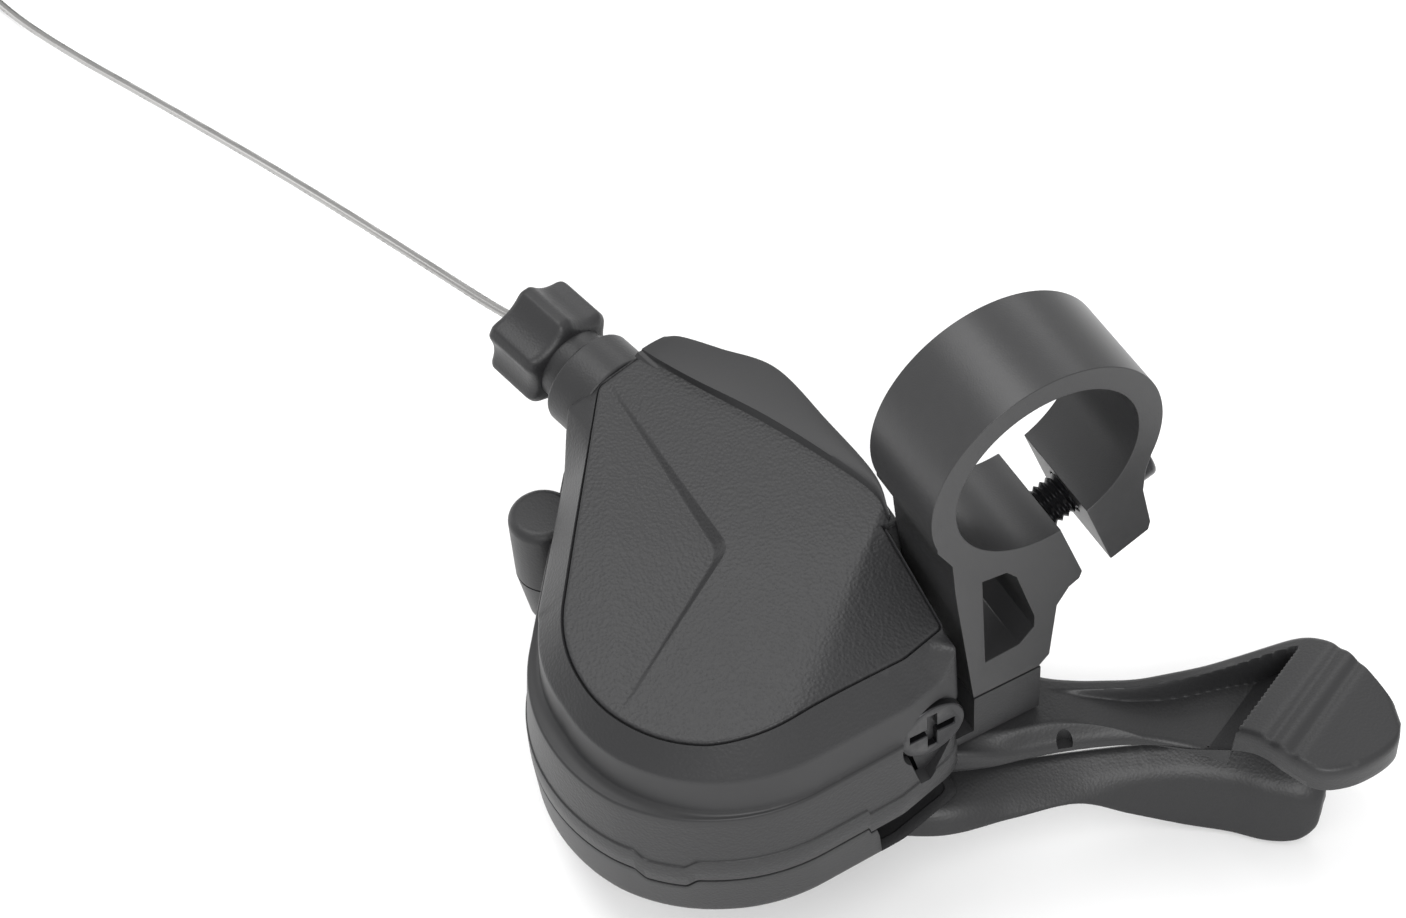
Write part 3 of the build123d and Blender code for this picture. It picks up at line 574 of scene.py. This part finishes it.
coverShell = makeShell()
for piece in (coverShell, makePanel(), makeFin()):
    fit(piece, "unit", "top_cover")
print("cover made")


# The lower cover, a tray that is open towards the levers.

tray = {"top": -40.85, "floor": -48.0, "thick": 1.2, "hole": 5.2, "round": 1.4, "mouth": (20.0, 112.0)}


def makeTray():
    # The profile below goes round the axle: underside, rounded edge, wall, rim, inside and floor. In the
    # mouth the wall is as low as the floor.
    seam = podRadii[3]
    base = seam - 0.3
    here = podAngle % 360
    open_ = smoothStep((here - tray["mouth"][0]) / 0.8) * smoothStep((tray["mouth"][1] - here) / 0.8)
    low = tray["floor"] + tray["thick"]
    rim = (tray["top"] - seamDrop()) * (1 - open_) + (low + 0.3) * open_
    r, z0 = tray["round"], tray["floor"]
    rows = [(np.full_like(seam, tray["hole"]), z0)]
    rows += [(tray["hole"] + (base - r - tray["hole"]) * share, z0) for share in (0.3, 0.6, 0.9, 1.0)]
    rows += [(base - r + r * sin(t), z0 + r - r * cos(t)) for t in np.linspace(0.15, 1.0, 7) * pi / 2]
    for share in np.linspace(0.1, 0.97, 8):
        rows.append((base + (seam - base) * share, z0 + r + (rim - z0 - r) * share))
    rows += [(seam - 0.03, rim - 0.05), (seam - 0.12, rim), (seam - 1.4, rim), (seam - 1.5, rim - 0.1),
             (seam - 1.5, low + 0.1), (seam - 1.7, low), (np.full_like(seam, tray["hole"]), low)]
    piece = roundThePod("lower_shell", rows)
    grainAttribute(piece, lambda z: 0.6 + 0 * z)
    return piece


fit(makeTray(), "unit", "lower_cover")


# The end of the cover, cut for its screw.

screwEnd = {
    "middle": (-16.0, -31.0), "radius": 4.45, "sides": 72,
    "floorX": 8.6, "outX": 20.0, "hollowX": 8.8, "hollowOutX": 14.5,
    "hollow": ([(-19.2, -33.2), (-17.9, -38.0), (-16.6, -38.6), (-15.6, -37.6), (-12.4, -33.4),
                (-13.2, -32.0), (-18.8, -31.8)],
               [(-20.7, -32.0), (-18.6, -39.3), (-17.0, -40.1), (-15.6, -39.0), (-10.6, -33.0),
                (-11.6, -31.4), (-20.2, -31.0)]),
}


def prismAlongBar(name, outlines, low, high):
    # A closed prism along the bar between two outlines of (y, z), at its low and high ends.
    rings = [np.column_stack([np.full(len(ring), x), ring]) for x, ring in zip((low, high), outlines)]
    return capped(name, np.array(rings), 30, split=True)


def cutAway(piece, cutters):
    # Cuts pieces out of a piece and keeps the result as plain mesh.
    for cutter in cutters:
        cut = piece.modifiers.new("cut", "BOOLEAN")
        cut.operation, cut.solver, cut.object = "DIFFERENCE", "EXACT", cutter
    bpy.context.view_layer.update()
    graph = bpy.context.evaluated_depsgraph_get()
    mesh = bpy.data.meshes.new_from_object(piece.evaluated_get(graph))
    materials = list(piece.data.materials)
    piece.modifiers.clear()
    for material in materials:
        if material.name not in mesh.materials:
            mesh.materials.append(material)
    piece.data = mesh
    for cutter in cutters:
        bpy.data.objects.remove(cutter)
    mesh.shade_smooth()
    mesh.set_sharp_from_angle(angle=radians(38))
    return piece


def screwPocket():
    ring = circleRing(*screwEnd["middle"], screwEnd["radius"], screwEnd["sides"])
    return [prismAlongBar("pocket", (ring, ring), screwEnd["floorX"], screwEnd["outX"]),
            prismAlongBar("hollow", screwEnd["hollow"], screwEnd["hollowX"], screwEnd["hollowOutX"])]


cutAway(coverShell, screwPocket())
print("lower cover made and the end cut")


# Sections carried along guide lines, for the levers.

def smoothGuide(points):
    # a smooth line through the given places, and the length up to each place on it
    fine = alongPoints(np.array(points, float), np.linspace(0, 1, 40 * len(points)))
    step = np.linalg.norm(np.diff(fine, axis=0), axis=1)
    return fine, np.concatenate([[0], np.cumsum(step)])


def guides(lines, count):
    # Samples several guide lines together, spaced evenly along the first and the last one's mean length.
    fines = [smoothGuide(line) for line in lines]
    along = sum(lengths / lengths[-1] for _, lengths in (fines[0], fines[-1])) / 2
    share = np.interp(np.linspace(0, 1, count), along, np.linspace(0, 1, len(along)))
    at = share * (len(along) - 1)
    i = np.clip(at.astype(int), 0, len(along) - 2)
    f = (at - i)[:, None]
    return [fine[i] * (1 - f) + fine[i + 1] * f for fine, _ in fines]


def roundedSection(corners, radii, steps=6, between=5):
    # A closed section at every station: straight from corner to corner, each corner rounded by a parabola
    # that starts and ends its radius away.
    count = len(corners)
    rows, starts, ends = [], [], []
    for k, corner in enumerate(corners):
        before, after = corners[k - 1] - corner, corners[(k + 1) % count] - corner
        lenBefore = np.linalg.norm(before, axis=1)[:, None]
        lenAfter = np.linalg.norm(after, axis=1)[:, None]
        starts.append(corner + before * np.minimum(radii[k] / lenBefore, 0.45))
        ends.append(corner + after * np.minimum(radii[k] / lenAfter, 0.45))
    for k, corner in enumerate(corners):
        for t in np.linspace(0, 1, steps):
            rows.append(starts[k] * (1 - t) ** 2 + corner * 2 * t * (1 - t) + ends[k] * t ** 2)
        for t in np.linspace(0, 1, between + 2)[1:-1]:
            rows.append(ends[k] * (1 - t) + starts[(k + 1) % count] * t)
    return np.stack(rows, axis=1)


def ringPiece(name, profile, around=180):
    # A closed profile of (radius, z) carried round the axle.
    points = np.stack([np.column_stack([circleRing(*axle, radius, around), np.full(around, z)])
                       for radius, z in profile], axis=1)
    return newPiece(name, points.reshape(-1, 3), gridFaces(around, len(profile), True, True), 40)


def hubProfile(inside, outside, low, high):
    return [(inside, high - 0.1), (inside + 0.1, high), (outside - 0.3, high), (outside, high - 0.3),
            (outside, low + 0.3), (outside - 0.3, low), (inside + 0.1, low), (inside, low + 0.1)]


# The near lever: a hub plate, an arm with a crest, and the pad under its end.

nearLever = {
    "stations": 240,
    "crest": [(-16.0, -24.6, -48.5), (-11.0, -22.2, -48.5), (-2.6, -14.9, -48.5), (4.6, -8.6, -48.5),
              (6.9, -3.0, -48.5), (9.3, 3.1, -48.5), (11.7, 8.7, -48.5), (14.4, 14.3, -48.5),
              (17.2, 19.2, -48.5), (20.2, 23.0, -48.5), (23.8, 25.2, -48.8), (26.4, 26.2, -50.4),
              (27.3, 25.9, -52.6)],
    "crease": [(-10.0, -34.0, -48.6), (-3.6, -29.6, -48.7), (3.4, -21.9, -48.9), (8.9, -13.8, -49.6),
               (10.8, -6.6, -50.7), (12.6, 1.2, -51.0), (15.3, 7.6, -51.0), (17.9, 12.8, -51.0),
               (20.8, 16.8, -51.0), (23.8, 19.6, -51.1), (26.6, 22.4, -51.4), (28.0, 24.3, -52.3),
               (27.9, 25.0, -53.4)],
    "outer": [(-9.0, -37.0, -52.4), (-1.4, -31.8, -52.4), (4.6, -23.8, -52.4), (10.2, -15.6, -52.4),
              (12.5, -7.2, -52.4), (14.5, 0.3, -52.6), (17.3, 5.9, -55.4), (20.6, 11.2, -57.4),
              (23.8, 15.2, -57.8), (27.0, 18.2, -57.8), (28.9, 21.0, -57.4), (29.0, 23.4, -56.6),
              (28.2, 24.7, -55.2)],
    "under": [(-15.0, -25.4, -52.4), (-10.4, -23.0, -52.4), (-2.0, -15.6, -52.4), (5.0, -9.4, -52.4),
              (7.4, -3.4, -52.4), (9.9, 2.8, -52.5), (12.4, 8.2, -54.0), (15.2, 13.6, -55.2),
              (18.0, 18.4, -55.8), (21.0, 21.8, -55.9), (24.3, 24.0, -55.9), (26.6, 25.2, -55.6),
              (27.5, 25.3, -54.8)],
    "corners": (1.0, 1.6, 1.3, 1.2),
}
crest, crease, outer, under = guides([nearLever[k] for k in ("crest", "crease", "outer", "under")],
                                     nearLever["stations"])
nearArm = capped("near_lever_arm", roundedSection([under, crest, crease, outer], nearLever["corners"]),
                 merge=0.003)
fit(nearArm, "main_lever", "main_lever")
nearHub = ringPiece("near_lever_hub", hubProfile(4.95, 10.5, -52.4, -48.5))
fit(nearHub, "main_lever", slot=slotOf["main_lever"])


# The far lever: a dished arm and a thumb pad that rises at its end.

farLever = {
    "stations": 300, "across": 84, "armZ": -42.4, "underZ": -46.0, "padTop": -36.8, "edge": 0.9,
    "grooves": (4.2, 7.0), "grooveDeep": 0.32, "hole": (10.6, 0.8, 0.95),
    "far": [(-17.2, -27.0), (-12.3, -18.6), (-6.9, -9.0), (-1.6, -0.4), (2.4, 2.8), (4.8, 5.8), (6.6, 8.8),
            (8.3, 12.0), (9.4, 15.2), (10.6, 19.2), (11.6, 23.2), (12.8, 26.8), (14.3, 29.6), (16.4, 31.2),
            (19.0, 32.0), (22.2, 32.3), (25.8, 32.3), (29.2, 32.0)],
    "near": [(-6.9, -39.4), (-1.4, -30.6), (2.6, -21.6), (6.8, -12.0), (8.6, -7.6), (9.6, -3.8), (10.9, 0.2),
             (12.5, 4.2), (14.3, 7.8), (16.6, 11.2), (19.6, 14.2), (23.8, 16.4), (28.6, 17.8), (32.2, 19.4),
             (33.8, 22.4), (34.1, 26.0), (33.4, 29.2), (31.4, 31.2)],
}


def pastDish(x, y):
    # how far a place lies past the slanted wall at the end of the dish
    return 0.903 * (x - 16.8) + 0.43 * (y - 27.3)


def farHeights(x, y, inset, width):
    # The arm's plane rises into the pad; the dish sinks between the rims and ends at a slanted wall; two
    # shallow grooves cross the pad.
    beyond = pastDish(x, y)
    pad = softMin(farLever["padTop"] + 0 * x, -40.2 + 0.39 * (x - 14) + 0.15 * (y - 27), 1.2)
    rise = smoothStep((beyond + 11) / 12)
    rim = farLever["armZ"] + rise * (pad - farLever["armZ"])
    for at in farLever["grooves"]:
        rim = rim - farLever["grooveDeep"] * np.exp(-((beyond - at) / 0.75) ** 2)
    sink = smoothStep((0.35 * (x - 5.9) + 0.94 * (y - 1.4)) / 16)
    floor = farLever["armZ"] - 0.25 - 2.6 * sink
    mask = (smoothStep((inset - 1.8) / 0.8) * smoothStep((-0.1 - beyond) / 0.6)
            * smoothStep((0.5 * x + 0.86 * y - 3.5) / 5))
    farSide = smoothStep(1 - (width - inset) / 3.4)
    rim = rim - 2.0 * farSide * smoothStep((y + 12) / 8) * smoothStep(-beyond / 5)
    return rim * (1 - mask) + np.minimum(rim, floor) * mask


def makeFarLever():
    # Stations run from the hub to the tip; at each, places go across the top, down the near side, back along
    # the underside and up the far side. Edges are rounded by a quarter circle.
    far, near = guides([[(x, y, 0) for x, y in farLever[k]] for k in ("far", "near")], farLever["stations"])
    count, r = farLever["across"], farLever["edge"]
    width = np.linalg.norm(near - far, axis=1)[:, None]
    even = np.linspace(0, 1, count)[None, :]
    share = even - 0.12 * np.sin(2 * pi * even) / (2 * pi)
    x = far[:, :1] + (near[:, :1] - far[:, :1]) * share
    y = far[:, 1:2] + (near[:, 1:2] - far[:, 1:2]) * share
    inset = width * share
    z = farHeights(x, y, inset, width)
    fromEnd = np.linalg.norm((far + near) / 2 - (far[-1] + near[-1]) / 2, axis=1)[:, None]
    edgeDistance = np.minimum(np.minimum(inset, width - inset), fromEnd + 0 * inset)
    z = z - (r - np.sqrt(np.clip(r ** 2 - np.clip(r - edgeDistance, 0, r) ** 2, 0, None)))
    beyond = pastDish(x, y)
    low = farLever["underZ"] + 5.2 * smoothStep((beyond + 6) / 11)
    top = np.stack([x, y, z], axis=2)
    sides = [top[:, -1] * (1 - t) + np.column_stack([x[:, -1], y[:, -1], low[:, -1] + 0.4]) * t
             for t in (0.3, 0.7, 1.0)]
    keep = slice(None, None, -6)
    inward = (far - near) / width * 0.35
    under = np.stack([x, y, low], axis=2)[:, keep]
    under[:, 0] += inward
    under[:, -1] -= inward
    back = [np.column_stack([x[:, 0], y[:, 0], low[:, 0] + 0.4]) * (1 - t) + top[:, 0] * t
            for t in (0.0, 0.3, 0.7)]
    points = np.concatenate([top, np.stack(sides, axis=1), under, np.stack(back, axis=1)], axis=1)
    return capped("far_lever_arm", points, merge=0.003)


def holeCutter(x, y, radius, low, high):
    ring = circleRing(x, y, radius, 40)
    rings = [np.column_stack([ring, np.full(len(ring), z)]) for z in (low, high)]
    return capped("hole", np.array(rings), 30, split=True)


farArm = cutAway(makeFarLever(), [holeCutter(*farLever["hole"], -45.0, -38.0),
                                  holeCutter(*axle, 5.2, -50, -40)])
fit(farArm, "release_lever", "release_lever")
farHub = ringPiece("far_lever_hub", hubProfile(5.2, 8.5, -46.0, -42.4))
fit(farHub, "release_lever", slot=slotOf["release_lever"])
print("levers made")


# The knob and the pinch bolt.

knob = {
    "inner": (-52.0, -28.1, -22.6), "yaw": 13.0, "pitch": 4.0, "long": 8.0, "radius": 6.6, "waist": 4.6,
    "neck": 2.6, "lobes": 6, "phase": 0.5, "scallop": 6.0, "depth": 1.1, "bore": 2.85, "around": 360,
}


def axisFrame(origin, axis):
    # Two directions across an axis, the first level, and a place along it.
    axis = np.array(axis) / np.linalg.norm(axis)
    side = np.cross(axis, [0, 0, 1.0])
    side /= np.linalg.norm(side)
    up = np.cross(side, axis)

    def place(angle, radius, along):
        radial = np.cos(angle)[:, None] * side + np.sin(angle)[:, None] * up
        return np.array(origin) + axis * np.reshape(along, (-1, 1)) + radial * np.reshape(radius, (-1, 1))
    return place


def makeKnob():
    # The radius at an angle is the smaller of the round knob's and the near side of a round scallop; along
    # the axis it is rounded in to the rim outside and to the waist inside.
    yaw, pitch = radians(knob["yaw"]), radians(knob["pitch"])
    outward = (-cos(yaw) * cos(pitch), -sin(yaw) * cos(pitch), sin(pitch))
    place = axisFrame(knob["inner"], outward)
    a = np.linspace(0, 2 * pi, knob["around"], endpoint=False)
    pitchAngle = 2 * pi / knob["lobes"]
    fromValley = (a + pitchAngle * knob["phase"]) % pitchAngle - pitchAngle / 2
    centre = knob["radius"] + knob["scallop"] - knob["depth"]
    under = np.clip(knob["scallop"] ** 2 - (centre * np.sin(fromValley)) ** 2, 0, None)
    valley = np.where(under > 0, centre * np.cos(fromValley) - np.sqrt(under), 99)
    lobe = softMin(np.minimum(valley, 9.0), knob["radius"] + 0 * a, 0.5)
    long, waist, bore = knob["long"], knob["waist"], knob["bore"]
    rows = [(bore, -knob["neck"]), (waist - 0.2, -knob["neck"]), (waist, 0.2 - knob["neck"]), (waist, -0.4)]
    for t in np.linspace(0, 1, 9) * pi / 2:
        rows.append((waist + (lobe - waist) * sin(t), -0.2 + 1.5 * (1 - cos(t))))
    for t in np.linspace(0.1, 1, 8):
        rows.append((lobe, 1.3 + (long - 2.2) * t))
    for t in np.linspace(0.15, 1, 6) * pi / 2:
        rows.append((lobe - 0.7 * (1 - cos(t)), long - 0.9 + 0.9 * sin(t)))
    rows += [(lobe - 1.1, long - 0.02), (4.2, long - 0.12), (3.9, long - 0.3), (3.0, long - 0.6),
             (bore, long - 0.7)]
    points = np.stack([place(a, radius, along) for radius, along in rows], axis=1)
    return newPiece("knob", points.reshape(-1, 3), gridFaces(len(a), len(rows), True, True), 35)


fit(makeKnob(), "adjuster", "barrel_adjuster")

bolt = {"split": -71.4, "out": 15.35, "head": 7.2, "headHigh": 4.0, "headRadius": 4.1, "shank": 2.48,
        "pitch": 0.8, "thread": 0.42, "low": -10.7, "around": 96, "hex": 2.3}


def makeBolt():
    # A helical ridge: the radius goes up and down with the distance along plus the share of a turn; then the
    # head, its rounded rim and a six-sided socket.
    split = radians(bolt["split"])
    out = np.array([0, cos(split), sin(split)])
    place = axisFrame(out * bolt["out"], (0, -sin(split), cos(split)))
    a = np.linspace(0, 2 * pi, bolt["around"], endpoint=False)
    rows = [(0.02, bolt["low"]), (1.9, bolt["low"])]
    for along in np.arange(bolt["low"] + 0.4, bolt["head"] - 0.6, bolt["pitch"] / 8):
        turn = (along / bolt["pitch"] + a / (2 * pi)) % 1.0
        rows.append((bolt["shank"] - bolt["thread"] * np.abs(2 * turn - 1), along))
    head, high, wide = bolt["head"], bolt["headHigh"], bolt["headRadius"]
    rows += [(2.45, head - 0.3), (2.45, head), (wide - 0.2, head), (wide, head + 0.2)]
    for t in np.linspace(0, 1, 5) * pi / 2:
        rows.append((wide - 0.6 * (1 - cos(t)), head + high - 0.6 + 0.6 * sin(t)))
    sixth = (a + pi / 6) % (pi / 3) - pi / 6
    hexagon = bolt["hex"] * cos(pi / 6) / np.cos(sixth)
    rows += [(hexagon + 0.15, head + high), (hexagon, head + high - 0.15), (hexagon, head + high - 2.4),
             (0.02, head + high - 2.6)]
    points = np.stack([place(a, radius, along) for radius, along in rows], axis=1)
    return capped("pinch_bolt", points.transpose(1, 0, 2), 30, 0.003)


fit(makeBolt(), "unit", "clamp_bolt")
print("knob and bolt made")


# The gear cable.

cable = {
    "diameter": 1.2, "exit": (-59.76, -29.85, -22.04), "strands": 7, "strandDepth": 0.13, "lay": 9.0,
    "spareLength": 1600.0, "coilRadius": 16.0, "bundleRadius": 3.1, "pointsPerTurn": 16, "section": 28,
    "spacing": 0.62,
}
cableRoute = [
    (-61.2, -30.8, -22.6), (-76.0, -34.9, -24.6), (-92.8, -38.8, -28.2),
    (-110.6, -42.4, -33.2), (-129.0, -46.0, -39.1), (-147.6, -49.6, -45.3), (-166.0, -53.2, -51.5),
    (-184.5, -56.5, -56.9), (-197.0, -58.6, -57.4), (-208.5, -60.0, -57.35),
]


def coilPoints(start, before, spare):
    # Turns of the put-away cable: a circle walked clockwise, whose distance from the bundle's own ring
    # goes round the layers of the bundle, so that the turns lie beside and on each other.
    heading = np.array([start[0] - before[0], start[1] - before[1]])
    heading /= np.hypot(*heading)
    ring = cable["coilRadius"]
    centre = np.array([start[0] + heading[1] * ring, start[1] - heading[0] * ring])
    turns = spare / (2 * pi * ring)
    layers = [4, 5, 4, 3]  # turns that lie side by side in each layer, from the bottom
    slots = []
    for layer, count in enumerate(layers):
        across = (np.arange(count) - (count - 1) / 2) * cable["diameter"] * 1.06
        if layer % 2:
            across = across[::-1]
        slots += [(a, layer * cable["diameter"] * 0.98) for a in across]
    slots = np.array([(0.0, 0.0)] + slots)
    count = int(turns * cable["pointsPerTurn"])
    step = np.arange(1, count + 1)
    turn = step / cable["pointsPerTurn"]
    at = np.clip(turn, 0, len(slots) - 1.001)
    whole = at.astype(int)
    blend = smoothStep((at - whole - 0.72) / 0.28)[:, None]
    place = slots[whole] * (1 - blend) + slots[whole + 1] * blend
    angle = np.arctan2(start[1] - centre[1], start[0] - centre[0]) - 2 * pi * turn
    radius = ring + place[:, 0]
    return np.column_stack([centre[0] + radius * np.cos(angle), centre[1] + radius * np.sin(angle),
                            start[2] + place[:, 1]])


def cableLine(points):
    # The cable's centreline, read from a smooth NURBS spline through its route as control points.
    curve = bpy.data.curves.new("cableLine", "CURVE")
    curve.dimensions = "3D"
    curve.resolution_u = 12
    spline = curve.splines.new("NURBS")
    spline.points.add(len(points) - 1)
    spline.points.foreach_set("co", np.column_stack([points * mm, np.ones(len(points))]).ravel())
    spline.order_u = 3
    spline.use_endpoint_u = True
    holder = bpy.data.objects.new("cableLine", curve)
    bpy.context.scene.collection.objects.link(holder)
    bpy.context.view_layer.update()
    mesh = bpy.data.meshes.new_from_object(holder)
    line = np.zeros(len(mesh.vertices) * 3)
    mesh.vertices.foreach_get("co", line)
    bpy.data.objects.remove(holder)
    return line.reshape(-1, 3) / mm


def acrossLine(line):
    # For each place on a line: two directions across it, the first level, that never twist suddenly.
    tangent = np.gradient(line, axis=0)
    tangent /= np.linalg.norm(tangent, axis=1)[:, None]
    side = np.cross(tangent, [0.0, 0.0, 1.0])
    side /= np.linalg.norm(side, axis=1)[:, None]
    return side, np.cross(side, tangent)


def strandedTube(line, spacing):
    # Round section whose radius is fluted by the strands: radius = half the diameter less a little where
    # two strands meet, and the flutes turn once in each lay length along the cable.
    steps = np.linalg.norm(np.diff(line, axis=0), axis=1)
    along = np.concatenate([[0], np.cumsum(steps)])
    at = np.linspace(0, along[-1], int(along[-1] / spacing))
    middle = np.column_stack([np.interp(at, along, line[:, k]) for k in range(3)])
    side, up = acrossLine(middle)
    angle = np.linspace(0, 2 * pi, cable["section"], endpoint=False)
    a, s = np.meshgrid(angle, at)
    flute = np.abs(np.cos(0.5 * cable["strands"] * (a - 2 * pi * s / cable["lay"])))
    radius = cable["diameter"] / 2 - cable["strandDepth"] * (1 - flute ** 0.6)
    ring = (side[:, None, :] * (radius * np.cos(a))[:, :, None]
            + up[:, None, :] * (radius * np.sin(a))[:, :, None])
    return middle[:, None, :] + ring, along[-1]


route = np.array([cable["exit"]] + cableRoute)
cableCentre = cableLine(np.vstack([route, coilPoints(route[-1], route[-2], cable["spareLength"])]))
cableRings, cableLength = strandedTube(cableCentre, cable["spacing"])
gearCable = capped("gear_cable", cableRings, sharp=180, merge=0.0001)
fit(gearCable, "unit", "shift_cable", "shift_cable_coil")
print("cable made, %.0f mm long" % cableLength)


# Floor, light and camera.

studio = {
    "floorZ": -58.05, "floorSize": 3000.0, "floorTone": 0.97, "worldStrength": 0.85,
    "target": (-13.92, -29.81, 0.03), "place": (178.4, -118.9, 255.5), "roll": 5.0, "lens": 81.23,
    # each light's place, what it points at, its two sides in mm, and its power in watts
    "lights": {
        "overhead box": ((-170, -75, 415), (-10, -30, -20), (240, 220), 0.85),
        "left strip": ((-330, -220, 60), (-10, -30, -30), (80, 300), 0.12),
        "right box": ((330, -140, 290), (0, -20, -30), (180, 180), 1.1),
        "far floor light": ((-460, 330, 300), (-400, 290, -58), (300, 300), 0.8),
    },
}


def makeFloor():
    half = studio["floorSize"] / 2
    z = studio["floorZ"]
    mesh = bpy.data.meshes.new("floor")
    corners = ((-1, -1), (1, -1), (1, 1), (-1, 1))
    mesh.from_pydata([(x * half * mm, y * half * mm, z * mm) for x, y in corners], [], [(0, 1, 2, 3)])
    floor = bpy.data.objects.new("floor", mesh)
    bpy.context.scene.collection.objects.link(floor)
    material = bpy.data.materials.new("pale floor")
    material.use_nodes = True
    shader = material.node_tree.nodes["Principled BSDF"]
    shader.inputs["Base Color"].default_value = (*[studio["floorTone"]] * 3, 1)
    shader.inputs["Roughness"].default_value = 0.9
    shader.inputs["Specular IOR Level"].default_value = 0.1
    mesh.materials.append(material)


def makeLight(name, place, target, size, power):
    lamp = bpy.data.lights.new(name, "AREA")
    lamp.shape = "RECTANGLE"
    lamp.size, lamp.size_y = size[0] * mm, size[1] * mm
    lamp.energy = power
    thing = bpy.data.objects.new(name, lamp)
    where = Vector(place) * mm
    thing.location = where
    thing.rotation_euler = (Vector(target) * mm - where).to_track_quat("-Z", "Y").to_euler()
    bpy.context.scene.collection.objects.link(thing)


def makeCamera():
    place, target = Vector(studio["place"]) * mm, Vector(studio["target"]) * mm
    aim = (target - place).to_track_quat("-Z", "Y").to_matrix()
    turn = aim @ Matrix.Rotation(radians(-studio["roll"]), 3, "Z")
    camera = bpy.data.objects.new("camera", bpy.data.cameras.new("camera"))
    camera.matrix_world = Matrix.Translation(place) @ turn.to_4x4()
    camera.data.lens = studio["lens"]
    camera.data.sensor_width = 36.0
    camera.data.clip_start = 0.01
    bpy.context.scene.collection.objects.link(camera)
    bpy.context.scene.camera = camera


makeFloor()
world = bpy.context.scene.world or bpy.data.worlds.new("studio")
bpy.context.scene.world = world
world.use_nodes = True
world.node_tree.nodes["Background"].inputs["Color"].default_value = (1, 1, 1, 1)
world.node_tree.nodes["Background"].inputs["Strength"].default_value = studio["worldStrength"]
for name, (place, target, size, power) in studio["lights"].items():
    makeLight(name, place, target, size, power)
makeCamera()
bpy.context.scene.view_settings.view_transform = "Standard"
print("studio ready")
